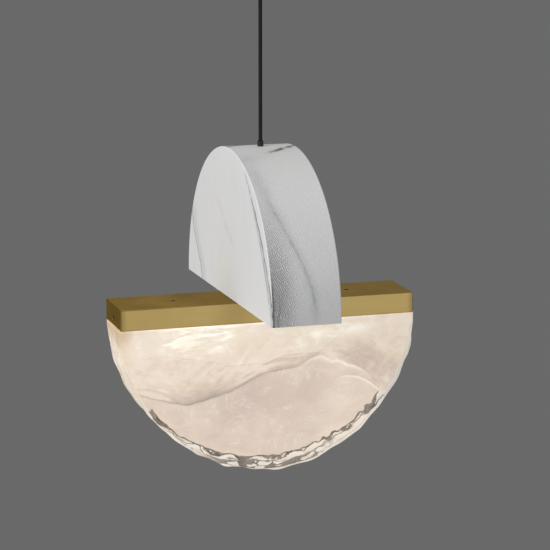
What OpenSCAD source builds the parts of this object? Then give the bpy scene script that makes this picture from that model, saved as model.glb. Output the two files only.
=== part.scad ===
// Pendant light: a marbled half disc block stands crosswise on a brass bar, and a
// cast glass half disc hangs below the bar. The light hangs by one cord from a ceiling canopy.
// Millimetres. +Z is up and z = 0 is the ceiling. +X runs along the bar.

/* [Marbled block] */
// Radius of the block's half disc
block_radius = 148.5; // [125:0.5:180]
// Thickness of the block between its flat faces
block_thickness = 68; // [60:1:90]
// Wall of the block's cast shell
block_wall = 6; // [4:0.5:8]
// Rounding of the block's outer edges
block_edge = 1.2; // [0.6:0.1:2]
// Thickness of the steel plate that closes the block
base_plate_thick = 3; // [2.5:0.5:5]
// Thickness of the felt pad between block and bar
pad_thick = 0.5; // [0.4:0.1:2]

/* [Brass bar] */
// Length of the bar
bar_length = 300; // [260:1:360]
// Width of the bar, from front to back
bar_width = 62; // [58:1:80]
// Height of the bar
bar_height = 21; // [21:0.5:28]
// Sheet thickness of the bar's housing
bar_wall = 1.5; // [1.4:0.1:2]
// Rounding of the bar's outer edges
bar_edge = 1; // [0.5:0.1:1.4]
// Distance of each top screw from the bar's centre
top_screw_reach = 90; // [60:1:110]
// Height of the end screws below the bar's top face
end_screw_drop = 13.6; // [12:0.1:14.5]

/* [Cast glass] */
// Distance from the bar's centre to the glass's end, under the bar
glass_reach = 151.5; // [130:0.5:185]
// Depth of the glass below the bar
glass_depth = 154; // [125:1:190]
// Thickness of the glass from front to back
glass_thick = 61.6; // [56:0.2:80]
// Width of the rolled rim at the bottom of the glass
rim_low = 15.5; // [6:0.5:18]
// Width of the rolled rim where the glass meets the bar
rim_high = 3; // [2:0.5:6]
// How much wider the rolled rim is on its right side, and narrower on its left
rim_lean = 1.8; // [0:0.1:2.5]
// How far the outline swells beyond its ellipse at the upper right
outline_swell = 2.8; // [0:0.1:4]
// How far the outline is drawn in from its ellipse at the lower left
outline_draw = 3.8; // [0:0.1:4]
// Height of the hammer marks on the rim
hammer_height = 1.1; // [0.3:0.1:1.5]
// Depth of the step between the cast layers on each face
layer_step = 2.2; // [0.5:0.1:3]
// Height of the glass tongue inside the bar
tongue_height = 9; // [6:0.5:10]

/* [Light unit] */
// Wall of the aluminium tray that holds the glass
tray_wall = 2; // [1.5:0.1:3]
// Top of the aluminium tray
tray_top = 2.5; // [2.4:0.1:3]
// Width of the LED boards
board_width = 18; // [12:1:24]
// Thickness of the LED boards
board_thick = 1.2; // [1:0.1:1.6]
// LED chips on each board
chips_per_board = 12; // [6:1:14]

/* [Suspension] */
// Diameter of the braided cord
cord_d = 3.8; // [3:0.1:4.2]
// Outer diameter of the black ferrule on the block
ferrule_d = 6; // [5.8:0.1:8]
// Height of the ferrule above the block
ferrule_height = 5.7; // [3:0.1:9]
// Outer diameter of the threaded stem
stem_d = 10; // [9:0.5:12]
// Wall of the threaded stem
stem_wall = 1.5; // [1:0.1:2]
// Outer diameter of the cord anchor in the block
anchor_d = 18; // [16:1:24]

/* [Canopy] */
// Outer radius of the canopy cover
canopy_radius = 60; // [58:1:75]
// Height of the canopy cover
canopy_height = 30; // [29:1:40]
// Sheet thickness of the canopy cover
canopy_wall = 1.2; // [0.8:0.1:2]
// Rounding of the canopy's lower edge
canopy_edge = 3; // [2.5:0.1:6]
// Thickness of the ceiling plate
plate_thick = 2; // [1.5:0.1:3]
// Distance between the two ceiling screws
ceiling_screw_spacing = 72; // [64:1:80]
// Width of the slots for the ceiling screws
slot_width = 5; // [4:0.1:6]
// Length of the slots for the ceiling screws
slot_length = 14; // [8:1:16]
// Radius of the supply cable's entry in the ceiling plate
entry_radius = 9; // [6:0.5:10]

/* [Hidden] */
$fn = 96;
BRASS = [0.72, 0.60, 0.33];
MARBLE = [0.90, 0.90, 0.90];
GLASS = [0.95, 0.89, 0.82, 0.8];
BLACK = [0.08, 0.08, 0.08];
STEEL = [0.62, 0.63, 0.65];
ALUMINIUM = [0.78, 0.79, 0.80];
NYLON = [0.93, 0.93, 0.90];
COPPER_RED = [0.65, 0.12, 0.08];

// Clearances
thread_gap = 0.05;
slip_gap = 0.2;
hole_gap = 0.3;
seat_gap = 0.2;
swing_gap = 0.2;
head_gap = 0.15;

// Screw sizes: thread radius, head radius and head height
m3_radius = 1.5;
m3_head_radius = 2.75;
m3_head_height = 1.25;
m3_pan_radius = 2.7;
m3_pan_height = 1.6;
m4_radius = 2;
m4_head_radius = 3.8;
m4_head_height = 1.8;
m4_pan_radius = 4;
m4_pan_height = 2.6;

// The cord's free stretch, from the swing point in the grip's mouth to the ferrule
cord_route = [
    [0, 0, -50], [0, 0, -58], [0, 0, -66], [0, 0, -74], [0, 0, -82],
    [0, 0, -90], [0, 0, -98], [0, 0, -106], [0, 0, -114], [0, 0, -122],
    [0, 0, -130], [0, 0, -138], [0, 0, -146], [0, 0, -154], [0, 0, -162],
    [0, 0, -170], [0, 0, -178], [0, 0, -186], [0, 0, -194], [0, 0, -200]
];
// The cord's end inside the canopy
tail_route = [
    [0, 0, -39.8], [0, 0, -34], [0, 0, -28], [1, 0, -24], [3.5, 0, -21],
    [8, 0, -19], [14, 0, -18.2], [21, 0, -18], [28, 0, -18]
];
cord_r = cord_d / 2;
cord_sides = 8;
side_pivot_z = cord_route[0][2];
front_pivot_z = side_pivot_z + 8;
neck_end_z = side_pivot_z + cord_r + swing_gap;
ferrule_top_z = cord_route[len(cord_route) - 1][2];

// Levels of the lamp, from the ferrule down
block_top_z = ferrule_top_z - ferrule_height;
block_floor_z = block_top_z - block_radius;
bar_top_z = block_floor_z - pad_thick;
bar_floor_z = bar_top_z - bar_height;
glass_top_z = bar_floor_z - seat_gap;
crown_z = block_top_z - block_wall;
plate_top_z = block_floor_z + base_plate_thick;

// Inside of the block
cavity_radius = block_radius - block_wall;
cavity_half_x = block_thickness / 2 - block_wall;
lug_length = 14;
lug_depth = 10;
lug_height = 12;
lug_reach = cavity_radius - 22;
lug_screw_x = cavity_half_x - lug_depth / 2;
base_screw_length = base_plate_thick + 7;

// Cord anchor and stem
bore_r = cord_r + thread_gap;
ferrule_r = ferrule_d / 2;
ferrule_neck_r = ferrule_r - 0.35;
anchor_r = anchor_d / 2;
anchor_top_z = crown_z - anchor_r * anchor_r / cavity_radius / 2 - seat_gap;
anchor_height = 24;
anchor_floor_z = anchor_top_z - anchor_height;
ferrule_neck_floor_z = anchor_top_z - 5;
grub_z = anchor_top_z - 10;
stem_r = stem_d / 2;
stem_bore_r = stem_r - stem_wall;
stem_top_z = anchor_floor_z + 8;
anchor_step = 0.5;
inner_cord_end_z = stem_top_z + 1;
nut_height = 3;
nut_flats = stem_d + 4;
washer_thick = 0.8;
washer_r = stem_r + 4;
stem_floor_z = bar_top_z - bar_wall - tray_top - washer_thick - nut_height - 1.7;

// Tray, boards and tongue
tray_gap = slip_gap;
tray_half_x = bar_length / 2 - bar_wall - tray_gap;
tray_half_y = bar_width / 2 - bar_wall - tray_gap;
tray_top_z = bar_top_z - bar_wall;
tray_ceiling_z = tray_top_z - tray_top;
tray_floor_z = bar_floor_z + 0.5;
thermal_thick = 0.2;
board_top_z = tray_ceiling_z - thermal_thick;
board_floor_z = board_top_z - board_thick;
board_start = nut_flats / 2 + 7;
board_end = tray_half_x - tray_wall - 2;
board_length = board_end - board_start;
chip_size = [3.5, 2.8, 0.7];
chip_margin = 14;
board_screw_inset = 6;
m25_radius = 1.25;
m25_pan_radius = 2.3;
m25_pan_height = 1.2;
bond_thick = 1.3;
tongue_half_x = tray_half_x - tray_wall - bond_thick;
tongue_half_y = tray_half_y - tray_wall - bond_thick;

// Glass mesh
glass_sections = 90;
face_steps = [0.13, 0.24, 0.33, 0.41, 0.48, 0.55, 0.62, 0.69, 0.77, 0.85, 0.93];
roll_angles = [0, 22.5, 45, 67.5, 90];
rim_steps = [0.25, 0.5, 0.75];
roll_depth = 9;
layer_blend = 8;
// Where the outline swells and is drawn in, and how far to each side, in degrees from the right end
swell_angle = 15;
swell_spread = 25;
draw_angle = 130;
draw_spread = 60;
// Turning points of the cast layer's lower edge, as shares of the glass's reach and depth
layer_turns = [[-1, 0.39], [-0.55, 0.5], [0.35, 0.24], [0.45, 0.275], [0.56, 0.32], [0.95, 0.65]];

// Canopy
plate_inset = 2.8;
ceiling_plate_radius = canopy_radius - canopy_wall - plate_inset;
tab_width = 16;
tab_depth = 14;
tab_screw_drop = 9;
canopy_floor_z = -canopy_height;
canopy_inner_z = canopy_floor_z + canopy_wall;
side_screw_length = canopy_wall + plate_inset + plate_thick + 2;
driver_size = [78, 27, 19];
driver_center_y = -(entry_radius + 5 + driver_size[1] / 2);
driver_foot = 6;
driver_foot_thick = 1.5;
terminal_size = [28, 17, 14];
terminal_center_y = entry_radius + 5 + terminal_size[1] / 2;
terminal_pitch = 9;
terminal_fixing_spot = [terminal_pitch / 2, terminal_center_y];
terminal_screw_offset = 5.5;
earth_spot = [26, 12];
earth_ring_thick = 0.8;
lead_r = 0.7;
// How far the mains leads bow out past the driver, and their way there as shares across and along
mains_bow = 10;
outer_way = [[0, 0], [0.1, 0.15], [0.375, 0.28], [0.725, 0.38], [0.94, 0.58], [1, 0.81]];
inner_way = [[0, 0], [0.18, 0.2], [0.48, 0.37], [0.79, 0.48], [0.96, 0.67], [1, 0.85]];

// Cord grip
grip_r = 5;
grip_bore_r = 3.6;
grip_flange_r = 8;
grip_flange_thick = 2;
grip_top_z = canopy_inner_z + 5;
grip_floor_z = canopy_floor_z - grip_flange_thick - 6;
grip_nut_r = 7.5;
grip_nut_top_z = canopy_floor_z - grip_flange_thick;
grip_nut_floor_z = side_pivot_z;
throat_z = grip_floor_z - 1;
throat_r = cord_r + 0.6;
mouth_r = 5.2;
knurls = 30;
knurl_r = 0.45;

// Rectangle with round corners
module round_rect(x, y, r) {
    square([x - 2 * r, y], center = true);
    square([x, y - 2 * r], center = true);
    for (i = [-1, 1], j = [-1, 1])
        translate([i * (x / 2 - r), j * (y / 2 - r)]) circle(r);
}

// Box whose edges are all rounded, centred in x and y, from z = 0 up
module round_box(size, r) {
    intersection() {
        linear_extrude(size[2]) round_rect(size[0], size[1], r);
        translate([0, size[1] / 2, size[2] / 2]) rotate([90, 0, 0])
            linear_extrude(size[1]) round_rect(size[0], size[2], r);
        translate([-size[0] / 2, 0, size[2] / 2]) rotate([90, 0, 90])
            linear_extrude(size[0]) round_rect(size[1], size[2], r);
    }
}

// Cup standing on its closed end, with a rounded edge there
module cup(r, height, edge) {
    rotate_extrude() {
        square([r - edge, height]);
        translate([0, edge]) square([r, height - edge]);
        translate([r - edge, edge]) circle(edge);
    }
}

// Half disc with its flat side down, standing across the x axis, with rounded edges
module half_disc(r, thick, edge) {
    intersection() {
        rotate([0, 90, 0]) translate([0, 0, -thick / 2]) rotate_extrude() {
            square([r - edge, thick]);
            translate([0, edge]) square([r, thick - 2 * edge]);
            for (z = [edge, thick - edge]) translate([r - edge, z]) circle(edge);
        }
        translate([-thick, -r - 1, 0]) cube([2 * thick, 2 * r + 2, r + 1]);
    }
}

// Countersunk screw pointing down, its head flush with z = 0
module flush_screw(r, head_r, head_height, length) {
    difference() {
        union() {
            translate([0, 0, -head_height]) cylinder(r1 = r, r2 = head_r, h = head_height);
            translate([0, 0, -length]) cylinder(r = r, h = length - head_height / 2);
        }
        translate([0, 0, -head_height * 0.7]) cylinder(r = head_r * 0.42, h = head_height, $fn = 6);
    }
}

// Hole for a countersunk screw
module flush_hole(r, head_r, head_height, length) {
    translate([0, 0, -head_height]) cylinder(r1 = r, r2 = head_r, h = head_height);
    translate([0, 0, -0.01]) cylinder(r = head_r, h = 1);
    translate([0, 0, -length]) cylinder(r = r, h = length);
}

// Round headed screw pointing down, the underside of its head at z = 0
module pan_screw(r, head_r, head_height, length) {
    difference() {
        union() {
            cylinder(r = head_r, h = head_height * 0.6);
            translate([0, 0, head_height * 0.6])
                cylinder(r1 = head_r, r2 = head_r * 0.75, h = head_height * 0.4);
            translate([0, 0, -length]) cylinder(r = r, h = length);
        }
        translate([-head_r, -0.35, head_height * 0.45]) cube([2 * head_r, 0.7, head_height]);
    }
}

// Hexagon nut with a round bore, from z = 0 up
module hex_nut(flats, bore, height) {
    difference() {
        cylinder(r = flats / sqrt(3), h = height, $fn = 6);
        translate([0, 0, -1]) cylinder(r = bore, h = height + 2);
    }
}

module washer(r, bore, thick) {
    difference() {
        cylinder(r = r, h = thick);
        translate([0, 0, -1]) cylinder(r = bore, h = thick + 2);
    }
}

function unit(v) = v / norm(v);
function heading(route, i) =
    unit(unit(route[min(i + 1, len(route) - 1)] - route[max(i - 1, 0)]));
function ring(center, direction, side, r, sides) = [
    for (k = [0 : sides - 1])
        let (u = unit(cross(direction, side)), v = cross(u, direction), a = 360 * (k + 0.5) / sides)
            center + r * cos(a) * u + r * sin(a) * v
];
// Triangles that join rings of equal size into a closed tube
function tube_faces(rings, sides) = concat(
    [for (i = [0 : rings - 2], k = [0 : sides - 1])
        let (a = i * sides + k, b = i * sides + (k + 1) % sides)
            [a, b, b + sides]],
    [for (i = [0 : rings - 2], k = [0 : sides - 1])
        let (a = i * sides + k, b = i * sides + (k + 1) % sides)
            [a, b + sides, a + sides]],
    [[for (k = [0 : sides - 1]) sides - 1 - k]],
    [[for (k = [0 : sides - 1]) (rings - 1) * sides + k]]
);

// Tube along a route; side is a direction that the route never runs along
module tube(route, r, side, sides = 8) {
    points = [for (i = [0 : len(route) - 1]) each ring(route[i], heading(route, i), side, r, sides)];
    polyhedron(points, tube_faces(len(route), sides), convexity = 6);
}

// Canopy

module ceiling_plate() {
    color(STEEL) difference() {
        union() {
            translate([0, 0, -plate_thick]) cylinder(r = ceiling_plate_radius, h = plate_thick);
            for (s = [-1, 1])
                translate([s * (ceiling_plate_radius - plate_thick / 2) - plate_thick / 2,
                           -tab_width / 2, -tab_depth])
                    cube([plate_thick, tab_width, tab_depth]);
        }
        translate([0, 0, -plate_thick - 1]) cylinder(r = entry_radius, h = plate_thick + 2);
        for (s = [-1, 1]) translate([s * ceiling_screw_spacing / 2, 0, -plate_thick - 1]) {
            slot_half = slot_length / 2 - slot_width / 2;
            for (t = [-1, 1]) translate([t * slot_half, 0, 0])
                cylinder(r = slot_width / 2, h = plate_thick + 2);
            translate([-slot_half, -slot_width / 2, 0])
                cube([2 * slot_half, slot_width, plate_thick + 2]);
        }
        for (s = [-1, 1]) rotate([0, s * 90, 0])
            translate([s * tab_screw_drop, 0, ceiling_plate_radius - plate_thick - 1])
                cylinder(r = m4_radius + thread_gap, h = plate_thick + 2);
        for (p = fixing_spots()) translate([p[0], p[1], -plate_thick - 1])
            cylinder(r = m3_radius + thread_gap, h = plate_thick + 2);
    }
}

// Tapped holes in the ceiling plate: driver feet, terminal block and earth
function driver_spots() = [
    for (s = [-1, 1]) [s * (driver_size[0] / 2 + driver_foot / 2), driver_center_y]
];
function fixing_spots() = concat(driver_spots(), [terminal_fixing_spot, earth_spot]);

module canopy_cover() {
    color(BRASS) difference() {
        translate([0, 0, canopy_floor_z]) cup(canopy_radius, canopy_height, canopy_edge);
        translate([0, 0, canopy_inner_z])
            cup(canopy_radius - canopy_wall, canopy_height, canopy_edge - canopy_wall);
        translate([0, 0, canopy_floor_z - 1])
            cylinder(r = grip_r + slip_gap, h = canopy_wall + 2);
        for (s = [-1, 1]) rotate([0, s * 90, 0])
            translate([s * tab_screw_drop, 0, canopy_radius - canopy_wall - 2])
                cylinder(r = m4_radius + hole_gap, h = canopy_wall + 4);
    }
}

module canopy_side_screws() {
    color(BRASS) for (s = [-1, 1]) translate([s * canopy_radius, 0, -tab_screw_drop])
        rotate([0, s * 90, 0])
            pan_screw(m4_radius, m4_pan_radius, m4_pan_height, side_screw_length);
}

module driver_case() {
    color(NYLON) difference() {
        union() {
            translate([0, driver_center_y, -plate_thick - driver_size[2]])
                round_box(driver_size, 2);
            for (p = driver_spots())
                translate([p[0], p[1], -plate_thick - driver_foot_thick]) {
                    cylinder(r = driver_foot, h = driver_foot_thick);
                    translate([-sign(p[0]) * driver_foot / 2, 0, driver_foot_thick / 2])
                        cube([driver_foot * 1.6, 2 * driver_foot, driver_foot_thick], center = true);
                }
        }
        for (p = driver_spots()) translate([p[0], p[1], -plate_thick - driver_foot_thick - 1])
            cylinder(r = m3_radius + hole_gap, h = driver_foot_thick + 2);
        for (s = [-1, 1], t = [-1, 1])
            translate([s * driver_size[0] / 2 - 3, driver_center_y + t * 2, lead_z()])
                rotate([0, 90, 0]) cylinder(r = lead_r + slip_gap, h = 6);
    }
}
function lead_z() = -plate_thick - driver_size[2] / 2;

module driver_screws() {
    color(STEEL) for (p = driver_spots())
        translate([p[0], p[1], -plate_thick - driver_foot_thick]) rotate([180, 0, 0])
            pan_screw(m3_radius, m3_pan_radius, m3_pan_height, driver_foot_thick + plate_thick - 0.2);
}

module terminal_block() {
    color(NYLON) difference() {
        translate([0, terminal_center_y, -plate_thick - terminal_size[2]])
            round_box(terminal_size, 1);
        translate([terminal_fixing_spot[0], terminal_fixing_spot[1],
                   -plate_thick - terminal_size[2] - 1])
            cylinder(r = m3_radius + hole_gap, h = terminal_size[2] + 2);
        for (x = terminal_poles(), t = [-1, 1])
            translate([x, terminal_center_y + t * terminal_screw_offset, -plate_thick - terminal_size[2] - 1])
                cylinder(r = m3_radius + slip_gap, h = 6);
        for (x = terminal_poles())
            translate([x, terminal_center_y + terminal_size[1], lead_z()])
                rotate([90, 0, 0]) cylinder(r = lead_r + 0.6, h = 2 * terminal_size[1]);
    }
}

function terminal_poles() = [-terminal_pitch, 0, terminal_pitch];

module terminal_screws() {
    color(STEEL) for (x = terminal_poles(), t = [-1, 1])
        translate([x, terminal_center_y + t * terminal_screw_offset, -plate_thick - terminal_size[2] + 1.2])
            difference() {
                cylinder(r = m3_radius, h = 2.4);
                translate([-m3_radius, -0.3, -1]) cube([2 * m3_radius, 0.6, 1.7]);
            }
}

module terminal_fixing_screw() {
    color(STEEL) translate([terminal_fixing_spot[0], terminal_fixing_spot[1],
                            -plate_thick - terminal_size[2]]) rotate([180, 0, 0])
            pan_screw(m3_radius, m3_pan_radius, m3_pan_height, terminal_size[2] + plate_thick - 0.2);
}

module earth_screw() {
    color(BRASS) translate([earth_spot[0], earth_spot[1], -plate_thick - earth_ring_thick])
        rotate([180, 0, 0])
            pan_screw(m3_radius, m3_pan_radius, m3_pan_height,
                      plate_thick + earth_ring_thick - 0.2);
}

// Points between two corners, at shares of the way across and along
function way(from, to, shares) =
    [for (s = shares) [from[0] + (to[0] - from[0]) * s[0], from[1] + (to[1] - from[1]) * s[1], lead_z()]];

// Line and neutral, from the terminal block round to the driver's left end
module mains_leads() {
    start = terminal_center_y - terminal_size[1] / 2;
    driver_end = -driver_size[0] / 2;
    outer_from = [-terminal_pitch, start - 3];
    outer_to = [driver_end - mains_bow, driver_center_y - 1];
    inner_from = [0, start - 3];
    inner_to = [driver_end - mains_bow + 5 * lead_r, driver_center_y + 2];
    color(BLACK) {
        tube(concat([[-terminal_pitch, start + 3, lead_z()]],
                    way(outer_from, outer_to, outer_way),
                    [[driver_end - 8, driver_center_y - 1, lead_z()],
                     [driver_end - 4, driver_center_y - 2, lead_z()],
                     [driver_end + 2, driver_center_y - 2, lead_z()]]),
             lead_r, [0, 0, 1]);
        tube(concat([[0, start + 3, lead_z()]],
                    way(inner_from, inner_to, inner_way),
                    [[driver_end - 4, driver_center_y + 2, lead_z()],
                     [driver_end + 2, driver_center_y + 2, lead_z()]]),
             lead_r, [0, 0, 1]);
    }
}

module earth_lead() {
    color("yellowgreen") {
        tube([[terminal_pitch, terminal_center_y - 6, lead_z()],
              [terminal_pitch, terminal_center_y - 11, lead_z()],
              [terminal_pitch + 4, terminal_center_y - 14, lead_z() + 2],
              [earth_spot[0] - 8, earth_spot[1] - 4, -plate_thick - 3],
              [earth_spot[0] - 4, earth_spot[1] - 1, -plate_thick - 1.2]],
             lead_r, [0, 0, 1]);
        translate([earth_spot[0], earth_spot[1], -plate_thick - earth_ring_thick]) difference() {
            union() {
                cylinder(r = 3, h = earth_ring_thick);
                translate([-4.6, -1.8, 0]) cube([3, 1.8, earth_ring_thick]);
            }
            translate([0, 0, -1]) cylinder(r = m3_radius + slip_gap, h = 3);
        }
    }
}

// Plus and minus, from the driver's right end to the cord
module output_leads() {
    tail_end = tail_route[len(tail_route) - 1];
    driver_end = driver_size[0] / 2;
    color(COPPER_RED) {
        tube([tail_end + [0.1, 0.9, 0], tail_end + [4, 0.9, 0.4], tail_end + [11, -0.6, 2.5],
              tail_end + [17.5, -6, 5], [48.2, -14, lead_z()], [48.2, -22, lead_z()],
              [driver_end + 6.5, driver_center_y - 0.5, lead_z()],
              [driver_end + 2.5, driver_center_y - 2, lead_z()],
              [driver_end - 2, driver_center_y - 2, lead_z()]],
             lead_r, [0, 0, 1]);
        tube([tail_end + [0.1, -0.9, 0], tail_end + [4, -0.9, 0.4], tail_end + [10, -2.6, 2.5],
              tail_end + [15.5, -7.5, 5], [45.8, -14.5, lead_z()], [45.4, -20.5, lead_z()],
              [driver_end + 3, driver_center_y + 2, lead_z()],
              [driver_end - 2, driver_center_y + 2, lead_z()]],
             lead_r, [0, 0, 1]);
    }
}

module grip_body() {
    color(BRASS) difference() {
        union() {
            translate([0, 0, grip_floor_z]) cylinder(r = grip_r, h = grip_top_z - grip_floor_z);
            translate([0, 0, canopy_floor_z - grip_flange_thick])
                cylinder(r = grip_flange_r, h = grip_flange_thick);
        }
        translate([0, 0, grip_floor_z - 1])
            cylinder(r = grip_bore_r, h = grip_top_z - grip_floor_z + 2);
    }
}

module grip_locknut() {
    color(BRASS) translate([0, 0, canopy_inner_z])
        hex_nut(2 * grip_r + 4, grip_r + thread_gap, nut_height);
}

module grip_bush() {
    color(BLACK) difference() {
        translate([0, 0, grip_floor_z]) cylinder(r = grip_bore_r - thread_gap, h = 10);
        translate([0, 0, grip_floor_z - 1]) cylinder(r = bore_r, h = 12);
    }
}

module grip_nut() {
    color(BRASS) difference() {
        translate([0, 0, grip_nut_floor_z]) union() {
            cylinder(r = grip_nut_r, h = grip_nut_top_z - grip_nut_floor_z - 1);
            translate([0, 0, grip_nut_top_z - grip_nut_floor_z - 1])
                cylinder(r1 = grip_nut_r, r2 = grip_nut_r - 0.8, h = 1);
        }
        translate([0, 0, grip_floor_z]) cylinder(r = grip_r + thread_gap, h = 20);
        translate([0, 0, throat_z]) cylinder(r = throat_r, h = 4);
        translate([0, 0, grip_nut_floor_z])
            cylinder(r1 = mouth_r, r2 = throat_r, h = throat_z - grip_nut_floor_z + 0.01);
        translate([0, 0, grip_nut_floor_z - 1]) cylinder(r = mouth_r, h = 1.001);
        for (k = [0 : knurls - 1]) rotate([0, 0, 360 * k / knurls])
            translate([grip_nut_r + 0.1, 0, grip_nut_floor_z + 3])
                cylinder(r = knurl_r, h = grip_nut_top_z - grip_nut_floor_z - 6, $fn = 24);
    }
}

module cord_tail() {
    color(BLACK) tube(tail_route, cord_r, [0, 1, 0], cord_sides);
}

// Stub of cord in the grip's mouth, which bends front to back at its domed upper end
module cord_neck() {
    color(BLACK) union() {
        translate([0, 0, front_pivot_z]) sphere(cord_r);
        translate([0, 0, neck_end_z]) cylinder(r = cord_r, h = front_pivot_z - neck_end_z);
    }
}

// Free stretch of cord, with a domed upper end on the side to side swing point
module cord() {
    dome = [for (a = [22.5, 45, 67.5]) [0, 0, side_pivot_z + cord_r * cos(a)]];
    route = concat(dome, cord_route);
    radii = concat([for (a = [22.5, 45, 67.5]) cord_r * sin(a)], [for (p = cord_route) cord_r]);
    points = [
        for (i = [0 : len(route) - 1]) each ring(route[i], [0, 0, -1], [0, 1, 0], radii[i], cord_sides)
    ];
    color(BLACK) polyhedron(points, tube_faces(len(route), cord_sides), convexity = 4);
}

// Lamp: cord end, anchor and stem

module cord_ferrule() {
    chamfer = 0.7;
    color(BLACK) difference() {
        union() {
            translate([0, 0, block_top_z]) cylinder(r = ferrule_r, h = ferrule_height - chamfer);
            translate([0, 0, ferrule_top_z - chamfer])
                cylinder(r1 = ferrule_r, r2 = ferrule_r - chamfer, h = chamfer);
            translate([0, 0, ferrule_neck_floor_z])
                cylinder(r = ferrule_neck_r, h = block_top_z - ferrule_neck_floor_z + 1);
        }
        translate([0, 0, ferrule_neck_floor_z - 1])
            cylinder(r = bore_r, h = ferrule_top_z - ferrule_neck_floor_z + 2);
    }
}

module inner_cord() {
    color(BLACK) translate([0, 0, inner_cord_end_z])
        cylinder(r = cord_r, h = ferrule_top_z - inner_cord_end_z);
}

module cord_anchor() {
    edge = 1.5;
    color(BRASS) difference() {
        union() {
            translate([0, 0, anchor_floor_z + edge])
                cylinder(r = anchor_r, h = anchor_height - edge);
            translate([0, 0, anchor_floor_z]) cylinder(r1 = anchor_r - edge, r2 = anchor_r, h = edge);
        }
        translate([0, 0, ferrule_neck_floor_z - anchor_step])
            cylinder(r = ferrule_neck_r + thread_gap, h = anchor_height);
        translate([0, 0, anchor_floor_z]) cylinder(r = bore_r + 0.1, h = anchor_height);
        translate([0, 0, anchor_floor_z - 1])
            cylinder(r = stem_r + thread_gap, h = stem_top_z - anchor_floor_z + 1 + anchor_step);
        translate([-anchor_d, 0, grub_z]) rotate([0, 90, 0])
            cylinder(r = m4_radius + thread_gap, h = 2 * anchor_d);
    }
}

module anchor_grub_screws() {
    color(STEEL) for (s = [-1, 1]) rotate([0, s * 90, 0]) translate([-s * grub_z, 0, 0])
        difference() {
            translate([0, 0, cord_r + thread_gap])
                cylinder(r = m4_radius, h = anchor_r - cord_r - 0.5);
            translate([0, 0, anchor_r - 2.5]) cylinder(r = 1.1, h = 4, $fn = 6);
        }
}

module hanger_stem() {
    color(STEEL) translate([0, 0, stem_floor_z]) difference() {
        cylinder(r = stem_r, h = stem_top_z - stem_floor_z);
        translate([0, 0, -1]) cylinder(r = stem_bore_r, h = stem_top_z - stem_floor_z + 2);
    }
}

module stem_nuts() {
    color(STEEL) for (z = [anchor_floor_z - nut_height, plate_top_z + washer_thick,
                           tray_ceiling_z - washer_thick - nut_height])
        translate([0, 0, z]) hex_nut(nut_flats, stem_r + thread_gap, nut_height);
}

module stem_washers() {
    color(STEEL) for (z = [plate_top_z, tray_ceiling_z - washer_thick])
        translate([0, 0, z]) washer(washer_r, stem_r + slip_gap, washer_thick);
}

// Two leads run down the stem, and each turns out to its own board
module stem_leads() {
    out_z = stem_floor_z - lead_r - 0.4;
    color(COPPER_RED) for (s = [-1, 1])
        tube([[s * 1.1, 0, inner_cord_end_z - 0.3],
              [s * 1.1, 0, (inner_cord_end_z + stem_floor_z) / 2],
              [s * 1.1, 0, stem_floor_z + 1.5],
              [s * 1.5, 0, stem_floor_z + 0.2],
              [s * 2.6, 0, out_z],
              [s * (nut_flats / 2 + 2), 0, out_z],
              [s * (board_start - 1.4), 0, (out_z + board_floor_z) / 2],
              [s * (board_start + 2), 0, board_floor_z - lead_r]],
             lead_r, [0, 1, 0]);
}

// Block

module block_shell() {
    color(MARBLE) difference() {
        union() {
            difference() {
                translate([0, 0, block_floor_z])
                    half_disc(block_radius, block_thickness, block_edge);
                // The cavity, a plain half disc open below
                translate([-cavity_half_x, 0, block_floor_z]) rotate([0, 90, 0])
                    cylinder(r = cavity_radius, h = 2 * cavity_half_x, $fn = 180);
            }
            // Lugs on the flat walls take the base plate's screws
            for (s = [-1, 1], t = [-1, 1])
                translate([s * (cavity_half_x - lug_depth / 2 + 1), t * lug_reach,
                           plate_top_z + lug_height / 2])
                    cube([lug_depth + 2, lug_length, lug_height], center = true);
        }
        translate([0, 0, crown_z - 5]) cylinder(r = ferrule_neck_r + slip_gap, h = block_wall + 10);
        for (s = [-1, 1], t = [-1, 1])
            translate([s * lug_screw_x, t * lug_reach, plate_top_z - 1])
                cylinder(r = m4_radius + thread_gap, h = base_screw_length - base_plate_thick + 2);
    }
}

module block_base_plate() {
    half_y = sqrt(cavity_radius * cavity_radius - base_plate_thick * base_plate_thick) - slip_gap;
    color(STEEL) difference() {
        translate([-cavity_half_x + slip_gap, -half_y, block_floor_z])
            cube([2 * (cavity_half_x - slip_gap), 2 * half_y, base_plate_thick]);
        translate([0, 0, block_floor_z - 1])
            cylinder(r = stem_r + slip_gap, h = base_plate_thick + 2);
        for (s = [-1, 1], t = [-1, 1])
            translate([s * lug_screw_x, t * lug_reach, block_floor_z]) rotate([180, 0, 0])
                flush_hole(m4_radius + slip_gap, m4_head_radius + slip_gap, m4_head_height,
                           base_plate_thick + 1);
    }
}

module base_plate_screws() {
    color(STEEL) for (s = [-1, 1], t = [-1, 1])
        translate([s * lug_screw_x, t * lug_reach, block_floor_z + 0.05]) rotate([180, 0, 0])
            flush_screw(m4_radius, m4_head_radius, m4_head_height, base_screw_length);
}

module felt_pad() {
    inset = 3;
    color("dimgray") translate([0, 0, bar_top_z]) difference() {
        translate([-block_thickness / 2 + inset, -bar_width / 2 + inset, 0])
            cube([block_thickness - 2 * inset, bar_width - 2 * inset, pad_thick]);
        translate([0, 0, -1]) cylinder(r = stem_r + hole_gap, h = pad_thick + 2);
    }
}

// Bar

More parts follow.
